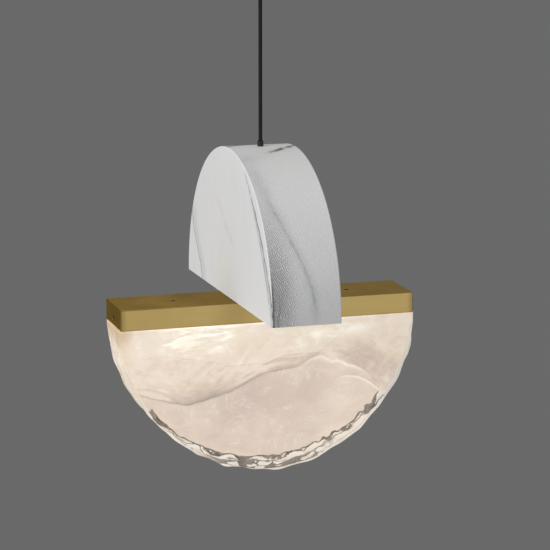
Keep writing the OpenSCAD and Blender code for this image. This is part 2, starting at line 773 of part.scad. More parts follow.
module bar_housing() {
    inner = [bar_length - 2 * bar_wall, bar_width - 2 * bar_wall, bar_height];
    color(BRASS) difference() {
        translate([0, 0, bar_floor_z]) round_box([bar_length, bar_width, bar_height], bar_edge);
        translate([-inner[0] / 2, -inner[1] / 2, tray_top_z - bar_height]) cube(inner);
        translate([0, 0, tray_top_z - 1]) cylinder(r = stem_r + slip_gap, h = bar_wall + 2);
        for (s = [-1, 1]) translate([s * top_screw_reach, 0, bar_top_z])
            flush_hole(m3_radius + slip_gap, m3_head_radius + head_gap, m3_head_height, bar_wall + 1);
        for (s = [-1, 1]) translate([s * bar_length / 2, 0, bar_top_z - end_screw_drop])
            rotate([0, s * 90, 0])
                flush_hole(m3_radius + slip_gap, m3_head_radius + head_gap, m3_head_height, bar_wall + 1);
    }
}

module bar_top_screws() {
    color(BRASS) for (s = [-1, 1]) translate([s * top_screw_reach, 0, bar_top_z - 0.1])
        flush_screw(m3_radius, m3_head_radius, m3_head_height, bar_wall + tray_top - 0.2);
}

module bar_end_screws() {
    color(BRASS) for (s = [-1, 1])
        translate([s * (bar_length / 2 - 0.1), 0, bar_top_z - end_screw_drop])
            rotate([0, s * 90, 0])
                flush_screw(m3_radius, m3_head_radius, m3_head_height,
                            bar_wall + tray_gap + tray_wall - 0.1);
}

module glass_tray() {
    color(ALUMINIUM) difference() {
        translate([-tray_half_x, -tray_half_y, tray_floor_z])
            cube([2 * tray_half_x, 2 * tray_half_y, tray_top_z - tray_floor_z]);
        translate([-tray_half_x + tray_wall, -tray_half_y + tray_wall, tray_floor_z - 1])
            cube([2 * (tray_half_x - tray_wall), 2 * (tray_half_y - tray_wall),
                  tray_ceiling_z - tray_floor_z + 1]);
        translate([0, 0, tray_ceiling_z - 1]) cylinder(r = stem_r + slip_gap, h = tray_top + 2);
        for (s = [-1, 1]) translate([s * top_screw_reach, 0, tray_ceiling_z - 1])
            cylinder(r = m3_radius + thread_gap, h = tray_top + 2);
        for (s = [-1, 1]) translate([s * tray_half_x, 0, bar_top_z - end_screw_drop])
            rotate([0, 90, 0]) translate([0, 0, -tray_wall - 1])
                cylinder(r = m3_radius + thread_gap, h = 2 * tray_wall + 2);
        for (p = board_screw_spots()) translate([p[0], p[1], tray_ceiling_z - 1])
            cylinder(r = m25_radius + thread_gap, h = tray_top + 0.8);
    }
}

function board_screw_spots() = [
    for (s = [-1, 1], t = [-1, 1], x = [board_start + board_screw_inset, board_end - 3])
        [s * x, t * (board_width / 2 - 3)]
];

module board_strip(top_z, thick) {
    for (s = [-1, 1])
        translate([s * (board_start + board_length / 2), 0, top_z - thick / 2])
            cube([board_length, board_width, thick], center = true);
}

module thermal_pads() {
    color("lightgray") difference() {
        board_strip(tray_ceiling_z, thermal_thick);
        for (p = board_screw_spots()) translate([p[0], p[1], tray_ceiling_z - 1])
            cylinder(r = m25_radius + slip_gap, h = 3);
    }
}

module led_boards() {
    color("white") difference() {
        board_strip(board_top_z, board_thick);
        for (p = board_screw_spots()) translate([p[0], p[1], board_floor_z - 1])
            cylinder(r = m25_radius + slip_gap, h = board_thick + 2);
    }
}

module led_chips() {
    first = board_start + chip_margin;
    pitch = (board_end - chip_margin - first) / (chips_per_board - 1);
    color("gold") for (s = [-1, 1], k = [0 : chips_per_board - 1])
        translate([s * (first + k * pitch), 0, board_floor_z - chip_size[2] / 2])
            cube(chip_size, center = true);
}

module board_screws() {
    color(STEEL) for (p = board_screw_spots()) translate([p[0], p[1], board_floor_z])
        rotate([180, 0, 0])
            pan_screw(m25_radius, m25_pan_radius, m25_pan_height,
                      board_thick + thermal_thick + 1.2);
}

// Joins the two boards in series, round the stem's nut
module board_link_wire() {
    link_y = washer_r + 1.5;
    z = board_floor_z - lead_r;
    color("white") tube([for (p = [[-1, 4], [-0.9, 5.5], [-0.6, link_y], [0, link_y],
                                   [0.6, link_y], [0.9, 5.5], [1, 4]])
                            [p[0] * (board_start + 2), p[1], z]],
                        lead_r, [0, 0, 1]);
}

module glass_bond() {
    top_z = tray_floor_z + tongue_height - 3;
    end_top_z = min(top_z, bar_top_z - end_screw_drop - m3_radius - 0.6);
    half_x = tongue_half_x - 2;
    half_y = tongue_half_y - 4;
    color("whitesmoke") {
        for (t = [-1, 1])
            translate([-half_x, t * (tongue_half_y + bond_thick / 2) - bond_thick / 2, tray_floor_z])
                cube([2 * half_x, bond_thick, top_z - tray_floor_z]);
        for (s = [-1, 1])
            translate([s * (tongue_half_x + bond_thick / 2) - bond_thick / 2, -half_y, tray_floor_z])
                cube([bond_thick, 2 * half_y, end_top_z - tray_floor_z]);
    }
}

// Cast glass. An angle of 0 is the right end under the bar, 90 is the lowest point.

function smooth(t) = let (c = min(max(t, 0), 1)) c * c * (3 - 2 * c);
function outline_r(a) =
    1 / sqrt(pow(cos(a) / glass_reach, 2) + pow(sin(a) / glass_depth, 2));
// Hammer marks: waves that cross each other and fade out at the bar
function hammer(a, y) = hammer_height * smooth(sin(a) * 6 + 0.25) * (
    0.45 * sin(a * 31 + 40 * sin(a * 7)) + 0.35 * sin(a * 19 + 6 * y)
    + 0.30 * sin(a * 11 - 9 * y + 70) - 0.10);
function swell(a) =
    outline_swell * smooth(1 - abs(a - swell_angle) / swell_spread)
    - outline_draw * smooth(1 - abs(a - draw_angle) / draw_spread);
function roll(a) =
    rim_high + (rim_low - rim_high) * pow(sin(a), 1.5) + rim_lean * sin(2 * a);
// Depth of the layer's edge at a share of the reach: smooth rises from each turning point to the next
function layer_edge(share, k = 1) =
    k == len(layer_turns) ? layer_turns[0][1] : let (p = layer_turns[k - 1], q = layer_turns[k])
        (q[1] - p[1]) * smooth((share - p[0]) / (q[0] - p[0])) + layer_edge(share, k + 1);
// How far a face lies behind the bar's face, at a place along the glass and a depth below the bar
function relief(x, depth) =
    layer_step * smooth((depth - glass_depth * layer_edge(x / glass_reach)) / layer_blend + 0.5)
    + 0.35 * smooth(depth / 40) * (1 + sin(4.1 * x + 3 * depth) * sin(2.7 * depth - 1.3 * x));
function face_point(a, share, side) = let (
        r = share * (outline_r(a) - roll(a)), x = r * cos(a), depth = r * sin(a)
    ) [x, side * (glass_thick / 2 - relief(side * -x, depth)), glass_top_z - depth];
function roll_point(a, t, side) = let (
        inner = outline_r(a) - roll(a),
        base = relief(side * -inner * cos(a), inner * sin(a)),
        y = glass_thick / 2 - base - (roll_depth - base) * (1 - cos(t)),
        r = inner + (roll(a) + swell(a) + hammer(a, side * y)) * sin(t)
    ) [r * cos(a), side * y, glass_top_z - r * sin(a)];
function rim_point(a, t) = let (
        y = (2 * t - 1) * (glass_thick / 2 - roll_depth), r = outline_r(a) + swell(a) + hammer(a, y)
    ) [r * cos(a), y, glass_top_z - r * sin(a)];
function glass_section(a) = concat(
    [for (s = face_steps) face_point(a, s, -1)],
    [for (t = roll_angles) roll_point(a, t, -1)],
    [for (t = rim_steps) rim_point(a, t)],
    [for (k = [len(roll_angles) - 1 : -1 : 0]) roll_point(a, roll_angles[k], 1)],
    [for (k = [len(face_steps) - 1 : -1 : 0]) face_point(a, face_steps[k], 1)]
);

module glass_body() {
    n = glass_sections;
    m = 2 * len(face_steps) + 2 * len(roll_angles) + len(rim_steps);
    rings = [for (i = [0 : n]) each glass_section(180 * i / n)];
    front = (n + 1) * m;
    back = front + 1;
    middle = front + 2;
    points = concat(rings, [face_point(0, 0, -1), face_point(0, 0, 1), [0, 0, glass_top_z]]);
    faces = concat(
        [for (i = [0 : n - 1], k = [0 : m - 2]) [i * m + k, i * m + k + 1, (i + 1) * m + k + 1]],
        [for (i = [0 : n - 1], k = [0 : m - 2]) [i * m + k, (i + 1) * m + k + 1, (i + 1) * m + k]],
        [for (i = [0 : n - 1]) [front, i * m, (i + 1) * m]],
        [for (i = [0 : n - 1]) [back, (i + 1) * m + m - 1, i * m + m - 1]],
        [for (k = [0 : m - 2]) [middle, k + 1, k]],
        [[middle, 0, front], [middle, back, m - 1]],
        [for (k = [0 : m - 2]) [middle, n * m + k, n * m + k + 1]],
        [[middle, front, n * m], [middle, n * m + m - 1, back]]
    );
    polyhedron(points, faces, convexity = 8);
}

module glass_diffuser() {
    color(GLASS) union() {
        glass_body();
        translate([-tongue_half_x, -tongue_half_y, glass_top_z - 1])
            cube([2 * tongue_half_x, 2 * tongue_half_y, tongue_height + 1]);
    }
}

ceiling_plate();
canopy_cover();
canopy_side_screws();
driver_case();
driver_screws();
terminal_block();
terminal_screws();
terminal_fixing_screw();
earth_screw();
mains_leads();
earth_lead();
output_leads();
grip_body();
grip_locknut();
grip_bush();
grip_nut();
cord_tail();
cord_neck();
cord();
cord_ferrule();
inner_cord();
cord_anchor();
anchor_grub_screws();
hanger_stem();
stem_nuts();
stem_washers();
stem_leads();
block_shell();
block_base_plate();
base_plate_screws();
felt_pad();
bar_housing();
bar_top_screws();
bar_end_screws();
glass_tray();
thermal_pads();
led_boards();
led_chips();
board_screws();
board_link_wire();
glass_bond();
glass_diffuser();
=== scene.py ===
# Looks of a pendant light: a marbled half disc stands across a brass bar, over a half disc of cast
# glass. Meshes, lamps and the camera are in metres. The finishes, and the sizes whose names end in
# _mm or _MM, are in millimetres.
import math

import bmesh
import bpy
import numpy as np
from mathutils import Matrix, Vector, noise


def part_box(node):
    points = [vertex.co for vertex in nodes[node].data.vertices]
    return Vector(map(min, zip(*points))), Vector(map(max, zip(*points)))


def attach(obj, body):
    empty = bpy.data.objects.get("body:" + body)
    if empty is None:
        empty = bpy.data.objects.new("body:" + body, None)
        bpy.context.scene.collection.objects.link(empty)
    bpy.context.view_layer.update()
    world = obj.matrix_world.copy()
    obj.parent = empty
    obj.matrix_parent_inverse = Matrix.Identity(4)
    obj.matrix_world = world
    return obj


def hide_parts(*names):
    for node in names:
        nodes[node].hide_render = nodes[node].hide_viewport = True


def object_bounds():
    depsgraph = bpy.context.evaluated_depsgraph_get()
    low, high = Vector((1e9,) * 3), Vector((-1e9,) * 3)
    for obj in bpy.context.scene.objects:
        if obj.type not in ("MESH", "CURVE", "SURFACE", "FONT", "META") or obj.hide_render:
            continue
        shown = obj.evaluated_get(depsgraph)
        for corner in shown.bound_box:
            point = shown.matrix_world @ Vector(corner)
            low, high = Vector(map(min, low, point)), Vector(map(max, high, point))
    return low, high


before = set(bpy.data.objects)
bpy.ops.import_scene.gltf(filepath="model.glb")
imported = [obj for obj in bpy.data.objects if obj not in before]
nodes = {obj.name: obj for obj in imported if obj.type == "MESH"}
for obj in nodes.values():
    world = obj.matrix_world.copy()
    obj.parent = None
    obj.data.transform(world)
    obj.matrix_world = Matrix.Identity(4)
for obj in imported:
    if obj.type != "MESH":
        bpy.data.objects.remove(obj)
cad_low, cad_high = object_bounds()
scene = bpy.context.scene
MM = 0.001

# Places that the frame gives

SEAT_GAP_MM = 0.2
glass_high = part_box("glass_diffuser")[1]
bar_low, bar_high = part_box("bar_housing")
block_low, block_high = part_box("block_shell")
glass_top_mm = bar_low.z / MM - SEAT_GAP_MM
bar_top_mm = bar_high.z / MM
bar_end_mm = bar_high.x / MM
block_floor_mm = block_low.z / MM
block_radius_mm = block_high.y / MM
block_half_mm = block_high.x / MM

# Camera, fitted to the photo together with the light's proportions

CAMERA_SPOT = (-0.6029, -1.9765, 0.0795)
VIEW_TURN = 17.36
VIEW_FALL = 11.33
FRAME_PIXELS = 550
FOCAL_PIXELS = 2125
SENSOR_MM = 36


def photo_camera():
    data = bpy.data.cameras.new("photo_camera")
    data.sensor_width = SENSOR_MM
    data.lens = SENSOR_MM * FOCAL_PIXELS / FRAME_PIXELS
    camera = bpy.data.objects.new("photo_camera", data)
    camera.location = CAMERA_SPOT
    camera.rotation_euler = (math.radians(90 - VIEW_FALL), 0, math.radians(-VIEW_TURN))
    scene.collection.objects.link(camera)
    scene.camera = camera


photo_camera()

# Meshes


def wrapped_grid(name, columns, rows, place, closed=()):
    """A grid whose vertices go to place(u, v), in millimetres. Its UV map keeps u and v, 0 to 1.

    Each test in closed names the edges round one open end, which gets a cap.
    """
    bm = bmesh.new()
    bm.loops.layers.uv.new("UVMap")
    bmesh.ops.create_grid(bm, x_segments=columns, y_segments=rows, size=0.5, calc_uvs=True)
    flat = np.array([vert.co[:2] for vert in bm.verts]) + 0.5
    for vert, spot in zip(bm.verts, place(flat[:, 0], flat[:, 1])):
        vert.co = Vector(spot) * MM
    bmesh.ops.remove_doubles(bm, verts=bm.verts, dist=0.01 * MM)
    for end in closed:
        loop = [edge for edge in bm.edges if edge.is_boundary and end(edge)]
        bmesh.ops.contextual_create(bm, geom=loop)
    return finished(name, bm)


def finished(name, bm):
    """The object of a mesh, smooth, with its faces outwards."""
    bmesh.ops.recalc_face_normals(bm, faces=bm.faces)
    mesh = bpy.data.meshes.new(name)
    bm.to_mesh(mesh)
    bm.free()
    piece = bpy.data.objects.new(name, mesh)
    scene.collection.objects.link(piece)
    for face in mesh.polygons:
        face.use_smooth = True
    return piece


# Cord: a braid of two sets of strands that pass over and under each other

CORD_R_MM = 1.9
CORD_SIDES = 48
RING_STEP_MM = 0.42
STRANDS = 8
STRAND_STEP_MM = 2.1
BRAID_DEPTH_MM = 0.22
# How far a strand falls off to its sides, and lengthwise to where it goes under the next
STRAND_ROUND = 0.96
STRAND_DIP = 0.35
CORD_ROUTE = [
    (0, 0, -0.050), (0, 0, -0.058), (0, 0, -0.066), (0, 0, -0.074), (0, 0, -0.082),
    (0, 0, -0.090), (0, 0, -0.098), (0, 0, -0.106), (0, 0, -0.114), (0, 0, -0.122),
    (0, 0, -0.130), (0, 0, -0.138), (0, 0, -0.146), (0, 0, -0.154), (0, 0, -0.162),
    (0, 0, -0.170), (0, 0, -0.178), (0, 0, -0.186), (0, 0, -0.194), (0, 0, -0.200),
]
TAIL_ROUTE_MM = [
    (0, 0, -39.8), (0, 0, -34), (0, 0, -28), (1, 0, -24), (3.5, 0, -21),
    (8, 0, -19), (14, 0, -18.2), (21, 0, -18), (28, 0, -18),
]


def braid_height(turn, along):
    """Height of the braid, from 0 to 1, at a share of a turn and a distance along the cord."""
    rising = STRANDS * turn + along / STRAND_STEP_MM
    falling = STRANDS * turn - along / STRAND_STEP_MM
    over = (np.floor(rising) + np.floor(falling)) % 2 < 1
    across = np.where(over, rising % 1, falling % 1) * 2 - 1
    lengthwise = np.where(over, falling % 1, rising % 1) * 2 - 1
    return np.sqrt(1 - STRAND_ROUND * across**2) * (1 - STRAND_DIP * lengthwise**2)


def route_at(route, distances):
    """Points and directions at distances along a route of points."""
    spots = np.array(route, float)
    steps = np.linalg.norm(np.diff(spots, axis=0), axis=1)
    reach = np.concatenate([[0], np.cumsum(steps)])
    at = np.clip(distances, 0, reach[-1])
    points = np.stack([np.interp(at, reach, spots[:, k]) for k in range(3)], axis=1)
    slopes = np.gradient(spots, reach, axis=0)
    ways = np.stack([np.interp(at, reach, slopes[:, k]) for k in range(3)], axis=1)
    return points, ways / np.linalg.norm(ways, axis=1)[:, None]


def route_length(route):
    return sum(math.dist(a, b) for a, b in zip(route, route[1:]))


def braid(name, route_mm, dome_mm=0.0):
    """A braided cord along a route in millimetres. The first dome_mm round off its start."""
    length = route_length(route_mm)
    rings = max(8, round(length / RING_STEP_MM))

    def place(u, v):
        points, ways = route_at(route_mm, v * length)
        side = np.cross(ways, (0, 1, 0))
        side /= np.linalg.norm(side, axis=1)[:, None]
        other = np.cross(ways, side)
        radius = CORD_R_MM - BRAID_DEPTH_MM * (1 - braid_height(u, v * length))
        if dome_mm:
            radius = radius * np.sqrt(1 - 0.98 * np.clip(1 - v * length / dome_mm, 0, 1) ** 2)
        turn = 2 * np.pi * u
        out = np.cos(turn)[:, None] * side + np.sin(turn)[:, None] * other
        return points + radius[:, None] * out

    def around(point_mm):
        """The test for the edges round this end of the cord."""
        end = Vector(point_mm) * MM
        return lambda edge: (edge.verts[0].co - end).length < 1.2 * CORD_R_MM * MM

    ends = [around(route_mm[0]), around(route_mm[-1])]
    return wrapped_grid(name, CORD_SIDES, rings, place, ends)


def downwards(low, high):
    """The route down the middle of a box, in millimetres."""
    return [(0, 0, high.z / MM), (0, 0, low.z / MM)]


def cords():
    free = braid("braided_cord", [tuple(value / MM for value in point) for point in CORD_ROUTE])
    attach(free, "hanging_cord")
    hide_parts("cord")
    neck = braid("braided_neck", downwards(*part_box("cord_neck")), dome_mm=CORD_R_MM)
    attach(neck, "neck")
    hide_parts("cord_neck")
    tail = braid("braided_tail", TAIL_ROUTE_MM)
    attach(tail, "canopy")
    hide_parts("cord_tail")
    inner = braid("braided_inner_end", downwards(*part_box("inner_cord")))
    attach(inner, "lamp")
    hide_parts("inner_cord")
    return [free, neck, tail, inner]


cord_pieces = cords()

# Cast glass: faces in layers, a rolled rim with hammer marks, and a tongue that seats in the bar

REACH_MM = 151.5
DEPTH_MM = 154
THICK_MM = 61.6
ROLL_DEPTH_MM = 9
RIM_LOW_MM = 15.5
RIM_HIGH_MM = 3
RIM_LEAN_MM = 1.8
ROLL_POWER = 1.5
# Where the outline swells and is drawn in: how far, at what angle from the right end, and how wide
SWELL_MM, SWELL_ANGLE, SWELL_SPREAD = 2.8, 15, 25
DRAW_MM, DRAW_ANGLE, DRAW_SPREAD = 3.8, 130, 60
# Size of the hammer's waves and dents
WAVE_MM = 1.1
DENT_MM, DENT_LONG_MM, DENT_WIDE_MM = 1.9, 24, 13
# Turning points of the main cast layer's lower edge, as shares of the glass's reach and depth
LAYER_TURNS = [(-1, 0.39), (-0.55, 0.5), (0.16, 0.305), (0.35, 0.24), (0.45, 0.275), (0.56, 0.32),
               (0.95, 0.65)]
MAIN_STEP_MM = 1.7
# The glass's grid runs from the bar down the front, over the rim and up the back
FACE_ROWS = 72
ROLL_ROWS = 14
RIM_ROWS = 22
GLASS_ROWS = 2 * FACE_ROWS + 2 * ROLL_ROWS + RIM_ROWS
GLASS_COLUMNS = 270


def soft(value, low=0, high=1):
    """0 below low, 1 above high, with a soft change between them."""
    t = np.clip((value - low) / (high - low), 0, 1)
    return t * t * (3 - 2 * t)


def peak(value, width):
    """1 where the value is 0, falling to 0 at width either side."""
    return 1 - soft(np.abs(value), 0, width)


def layer_edge(x, smooth):
    """Depth of the main layer's lower edge along the glass: smooth rises between turning points."""
    share = x / REACH_MM
    spans = zip(LAYER_TURNS, LAYER_TURNS[1:])
    rise = sum((end - start) * smooth(share, left, right) for (left, start), (right, end) in spans)
    return DEPTH_MM * (LAYER_TURNS[0][1] + rise)


def outline(a):
    return 1 / np.sqrt((np.cos(a) / REACH_MM) ** 2 + (np.sin(a) / DEPTH_MM) ** 2)


def swell(degrees):
    """How far the outline lies outside its ellipse, at an angle from the right end."""
    out = SWELL_MM * peak(degrees - SWELL_ANGLE, SWELL_SPREAD)
    return out - DRAW_MM * peak(degrees - DRAW_ANGLE, DRAW_SPREAD)


def sine(degrees):
    return np.sin(np.radians(degrees))


def hammer(a, y):
    """Waves that cross each other round the rim and fade out at the bar."""
    deg = np.degrees(a)
    waves = 0.45 * sine(deg * 31 + 40 * sine(deg * 7)) + 0.35 * sine(deg * 19 + 6 * y)
    return WAVE_MM * soft(np.sin(a) * 6 + 0.25) * (waves + 0.3 * sine(deg * 11 - 9 * y + 70) - 0.1)


def dents(a, across):
    """Shallow dents with ridges between them, as a hammer leaves. They only cut into the glass."""
    spots = np.stack([a * REACH_MM / DENT_LONG_MM, across / DENT_WIDE_MM, 0 * a], axis=1)
    near = np.array([noise.voronoi(Vector(spot))[0][0] for spot in spots])
    return -DENT_MM * (1 - soft(near / 0.9)) * soft(np.sin(a) * 8 + 0.1)


def layers(x, depth):
    """How far the face lies behind the bar's face."""
    edge = layer_edge(x, soft)
    step = MAIN_STEP_MM * soft((depth - edge) / 3 + 0.5)
    sag = 0.6 * soft((depth - edge) / 40)
    ripple = 0.35 * soft(depth / 40) * (1 + sine(4.1 * x + 3 * depth) * sine(2.7 * depth - 1.3 * x))
    return step + sag + ripple


def glass_place(u, v):
    a = np.pi * u
    side = np.where(v < 0.5, -1.0, 1.0)
    row = v * GLASS_ROWS
    row = np.minimum(row, GLASS_ROWS - row)
    share = np.clip(row / FACE_ROWS, 0, 1)
    turn = np.clip((row - FACE_ROWS) / ROLL_ROWS, 0, 1) * np.pi / 2
    rim = np.clip((row - FACE_ROWS - ROLL_ROWS) / RIM_ROWS, 0, 1)
    roll = RIM_HIGH_MM + (RIM_LOW_MM - RIM_HIGH_MM) * np.sin(a) ** ROLL_POWER
    roll = roll + RIM_LEAN_MM * np.sin(2 * a)
    inner = outline(a) - roll
    radius = share * inner
    sunk = layers(-side * radius * np.cos(a), radius * np.sin(a))
    half_rim = THICK_MM / 2 - ROLL_DEPTH_MM
    y = THICK_MM / 2 - sunk - (ROLL_DEPTH_MM - sunk) * (1 - np.cos(turn))
    y = side * np.where(rim > 0, half_rim * (1 - 2 * rim), y)
    marks = (hammer(a, y) + dents(a, y + side * 40 * np.cos(turn))) * np.sin(turn)
    radius = radius + (roll + swell(np.degrees(a))) * np.sin(turn) + marks
    return np.stack([radius * np.cos(a), y, glass_top_mm - radius * np.sin(a)], axis=1)


def glass():
    top = glass_top_mm * MM
    ends = [lambda edge: all(abs(v.co.z - top) < 0.01 * MM for v in edge.verts)]
    piece = wrapped_grid("cast_glass_half_disc", GLASS_COLUMNS, GLASS_ROWS, glass_place, ends)
    add_tongue(piece)
    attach(piece, "lamp")
    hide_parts("glass_diffuser")
    return piece


def add_tongue(piece):
    """Draws the flat top in to the tongue's outline and raises it as far as the CAD part's tongue."""
    upper = [v.co for v in nodes["glass_diffuser"].data.vertices if v.co.z > glass_high.z - MM]
    half_x, half_y = max(p.x for p in upper), max(p.y for p in upper)
    bm = bmesh.new()
    bm.from_mesh(piece.data)
    cap = max(bm.faces, key=lambda face: face.calc_area())
    bmesh.ops.inset_region(bm, faces=[cap], thickness=MM)
    reach = max(abs(v.co.x) for v in cap.verts)
    for v in cap.verts:
        v.co.x *= half_x / reach
        v.co.y = math.copysign(half_y, v.co.y)
    raised = bmesh.ops.extrude_face_region(bm, geom=[cap])["geom"]
    bmesh.ops.delete(bm, geom=[cap], context="FACES")
    for v in raised:
        if isinstance(v, bmesh.types.BMVert):
            v.co.z = glass_high.z
    bmesh.ops.recalc_face_normals(bm, faces=bm.faces)
    bm.to_mesh(piece.data)
    bm.free()


glass_piece = glass()

# Finishes


class Reading:
    """A number that varies over a surface. Arithmetic on it adds Math nodes to its finish."""

    def __init__(self, finish, socket):
        self.finish = finish
        self.socket = socket

    def __add__(self, other):
        return self.finish.math("ADD", self, other)

    def __sub__(self, other):
        return self.finish.math("SUBTRACT", self, other)

    def __rsub__(self, other):
        return self.finish.math("SUBTRACT", other, self)

    def __mul__(self, other):
        return self.finish.math("MULTIPLY", self, other)

    def __truediv__(self, other):
        return self.finish.math("DIVIDE", self, other)

    def __neg__(self):
        return self.finish.math("MULTIPLY", self, -1)

    def __abs__(self):
        return self.finish.math("ABSOLUTE", self)

    __radd__ = __add__
    __rmul__ = __mul__


class Nodes:
    """The nodes of a finish, or of the world."""

    def __init__(self, tree):
        self.tree = tree
        tree.nodes.clear()

    def node(self, kind, settings=None, values=None):
        """A node of a kind, with its settings first and then the values or links of its sockets."""
        made = self.tree.nodes.new(kind)
        for key, value in (settings or {}).items():
            if key == "stops":
                self.set_stops(made.color_ramp, value)
            else:
                setattr(made, key, value)
        for key, value in (values or {}).items():
            self.feed(made.inputs[key], value)
        return made

    def set_stops(self, ramp, stops):
        while len(ramp.elements) < len(stops):
            ramp.elements.new(0.5)
        for element, (place, colour) in zip(ramp.elements, stops):
            element.position = place
            element.color = (*colour, 1)

    def feed(self, socket, value):
        if isinstance(value, Reading):
            value = value.socket
        if isinstance(value, bpy.types.NodeSocket):
            self.tree.links.new(value, socket)
        elif socket.type == "RGBA" and len(value) == 3:
            socket.default_value = (*value, 1)
        else:
            socket.default_value = value

    def math(self, operation, *values):
        made = self.node("ShaderNodeMath", {"operation": operation}, dict(enumerate(values)))
        return Reading(self, made.outputs[0])

    def most(self, first, *others):
        """The largest of some numbers."""
        for other in others:
            first = self.math("MAXIMUM", first, other)
        return first

    def mixed_shader(self, share, first, second):
        values = {0: share, 1: first.outputs[0], 2: second.outputs[0]}
        return self.node("ShaderNodeMixShader", {}, values)


class Finish(Nodes):
    """A procedural material. Its places are Object coordinates in millimetres."""

    def __init__(self, name):
        self.material = bpy.data.materials.new(name)
        self.material.use_nodes = True
        super().__init__(self.material.node_tree)
        coordinates = self.node("ShaderNodeTexCoord").outputs["Object"]
        scaled = {"Vector": coordinates, "Scale": 1 / MM}
        self.place = self.node("ShaderNodeVectorMath", {"operation": "SCALE"}, scaled).outputs["Vector"]
        parts = self.node("ShaderNodeSeparateXYZ", {}, {"Vector": self.place}).outputs
        self.x, self.y, self.z = (Reading(self, part) for part in parts)

    def sin(self, value):
        return self.math("SINE", value)

    def square(self, value):
        return self.math("POWER", value, 2)

    def root(self, value):
        return self.math("SQRT", value)

    def sign(self, value):
        return self.math("SIGN", value)

    def smooth(self, value, low, high):
        """0 below low, 1 above high, with a soft change between them."""
        settings = {"interpolation_type": "SMOOTHSTEP"}
        values = {"Value": value, "From Min": low, "From Max": high}
        return Reading(self, self.node("ShaderNodeMapRange", settings, values).outputs["Result"])

    def peak(self, value, width):
        """1 where the value is 0, falling to 0 at width either side."""
        return 1 - self.smooth(abs(value), 0, width)

    def between(self, value, low, high, soft_edge):
        """1 from low to high, with a soft edge either side."""
        above = self.smooth(value, low - soft_edge, low)
        return above * (1 - self.smooth(value, high, high + soft_edge))

    def vector(self, x, y, z):
        return self.node("ShaderNodeCombineXYZ", {}, {"X": x, "Y": y, "Z": z}).outputs["Vector"]

    def stretched(self, sizes, place=None):
        """Places divided by sizes, so that a pattern of size 1 gets these sizes."""
        values = {0: place or self.place, 1: tuple(1 / size for size in sizes)}
        made = self.node("ShaderNodeVectorMath", {"operation": "MULTIPLY"}, values)
        return made.outputs["Vector"]

    def grain(self, sizes, detail=2.0, place=None, warp=0.0, roughness=0.5):
        """Noise from 0 to 1 whose spots have about these sizes."""
        values = {"Vector": self.stretched(sizes, place), "Scale": 1.0, "Detail": detail}
        values.update({"Roughness": roughness, "Distortion": warp})
        return Reading(self, self.node("ShaderNodeTexNoise", {}, values).outputs[0])

    def sway(self, size, reach, detail=2.0):
        """Noise with spots of one size, which goes at most half of reach to each side of 0."""
        return (self.grain((size,) * 3, detail) - 0.5) * reach

    def cell_edges(self, sizes, place):
        """Distance to the nearest edge between scattered cells."""
        values = {"Vector": self.stretched(sizes, place), "Scale": 1.0}
        made = self.node("ShaderNodeTexVoronoi", {"feature": "DISTANCE_TO_EDGE"}, values)
        return Reading(self, made.outputs["Distance"])

    def mix(self, share, first, second):
        """A colour from first, at share 0, to second, at share 1."""
        made = self.node("ShaderNodeMix", {"data_type": "RGBA"}, {0: share, 6: first, 7: second})
        return made.outputs[2]

    def ramp(self, value, stops):
        return self.node("ShaderNodeValToRGB", {"stops": stops}, {"Fac": value}).outputs["Color"]

    def bump(self, height, depth_mm):
        values = {"Height": height, "Distance": depth_mm * MM, "Strength": 1.0}
        return self.node("ShaderNodeBump", {}, values).outputs["Normal"]

    def surface(self, **values):
        """A Principled shader with the named sockets. Underscores in the names stand for spaces."""
        named = {key.replace("_", " "): value for key, value in values.items()}
        return self.node("ShaderNodeBsdfPrincipled", {}, named)

    def output(self, shader):
        self.node("ShaderNodeOutputMaterial", {}, {"Surface": shader.outputs[0]})
        return self.material


# Stone of the block

MARBLE_TONES = [(0.0, (0.86, 0.86, 0.86)), (0.12, (0.79, 0.79, 0.795)), (0.35, (0.50, 0.505, 0.515)),
                (0.8, (0.20, 0.20, 0.21))]
# Radians per millimetre of the waves pressed into the rim
PRESSED_WAVES = 3.4
PRESSED_DEPTH_MM = 0.16


def face_veins(f, height, wander, fine_wander, broken):
    """Veins of the flat faces, as lines of y over the height, turned round on the other face."""
    along = f.y * f.sign(-f.x)
    # Dark vein near the front edge, with its haze and a fork
    edge_vein = f.math("POWER", f.most(height, 0) / 150, 1.6) * 110 - 150
    edge_line = f.peak(along - edge_vein + fine_wander, 2.3) * f.between(height, 4, 125, 12)
    edge_line = edge_line * (0.3 + broken * 0.7)
    edge_haze = f.peak(along - edge_vein - 3 + fine_wander * 2, 9) * f.between(height, 2, 95, 25)
    fork = f.peak(along - edge_vein - 8 + wander * 0.4, 2.2) * f.between(height, 28, 66, 14)
    # Vein near the back edge
    far_vein = 95 + 35 * f.smooth(height, 0, 62)
    far_line = f.peak(along - far_vein + fine_wander, 2.2) * f.between(height, 2, 62, 14)
    far_haze = f.peak(along - far_vein + 9 + wander, 13) * f.between(height, 0, 60, 22)
    # Faint marks in the middle
    mid_vein = (height - 68) * 1.4
    drift = f.sway(34, 44)
    mid_haze = f.peak(along - mid_vein + wander + drift, 9) * f.between(height, 58, 84, 14)
    mid_haze = mid_haze * (0.3 + broken * 0.7)
    streaky = f.smooth(f.grain((60, 5, 45), 3, warp=0.6), 0.50, 0.72)
    veins = edge_line * 0.68 + edge_haze * 0.22 + fork * 0.3 + far_line * 0.5 + far_haze * 0.16
    return veins + mid_haze * 0.13 + streaky * 0.06


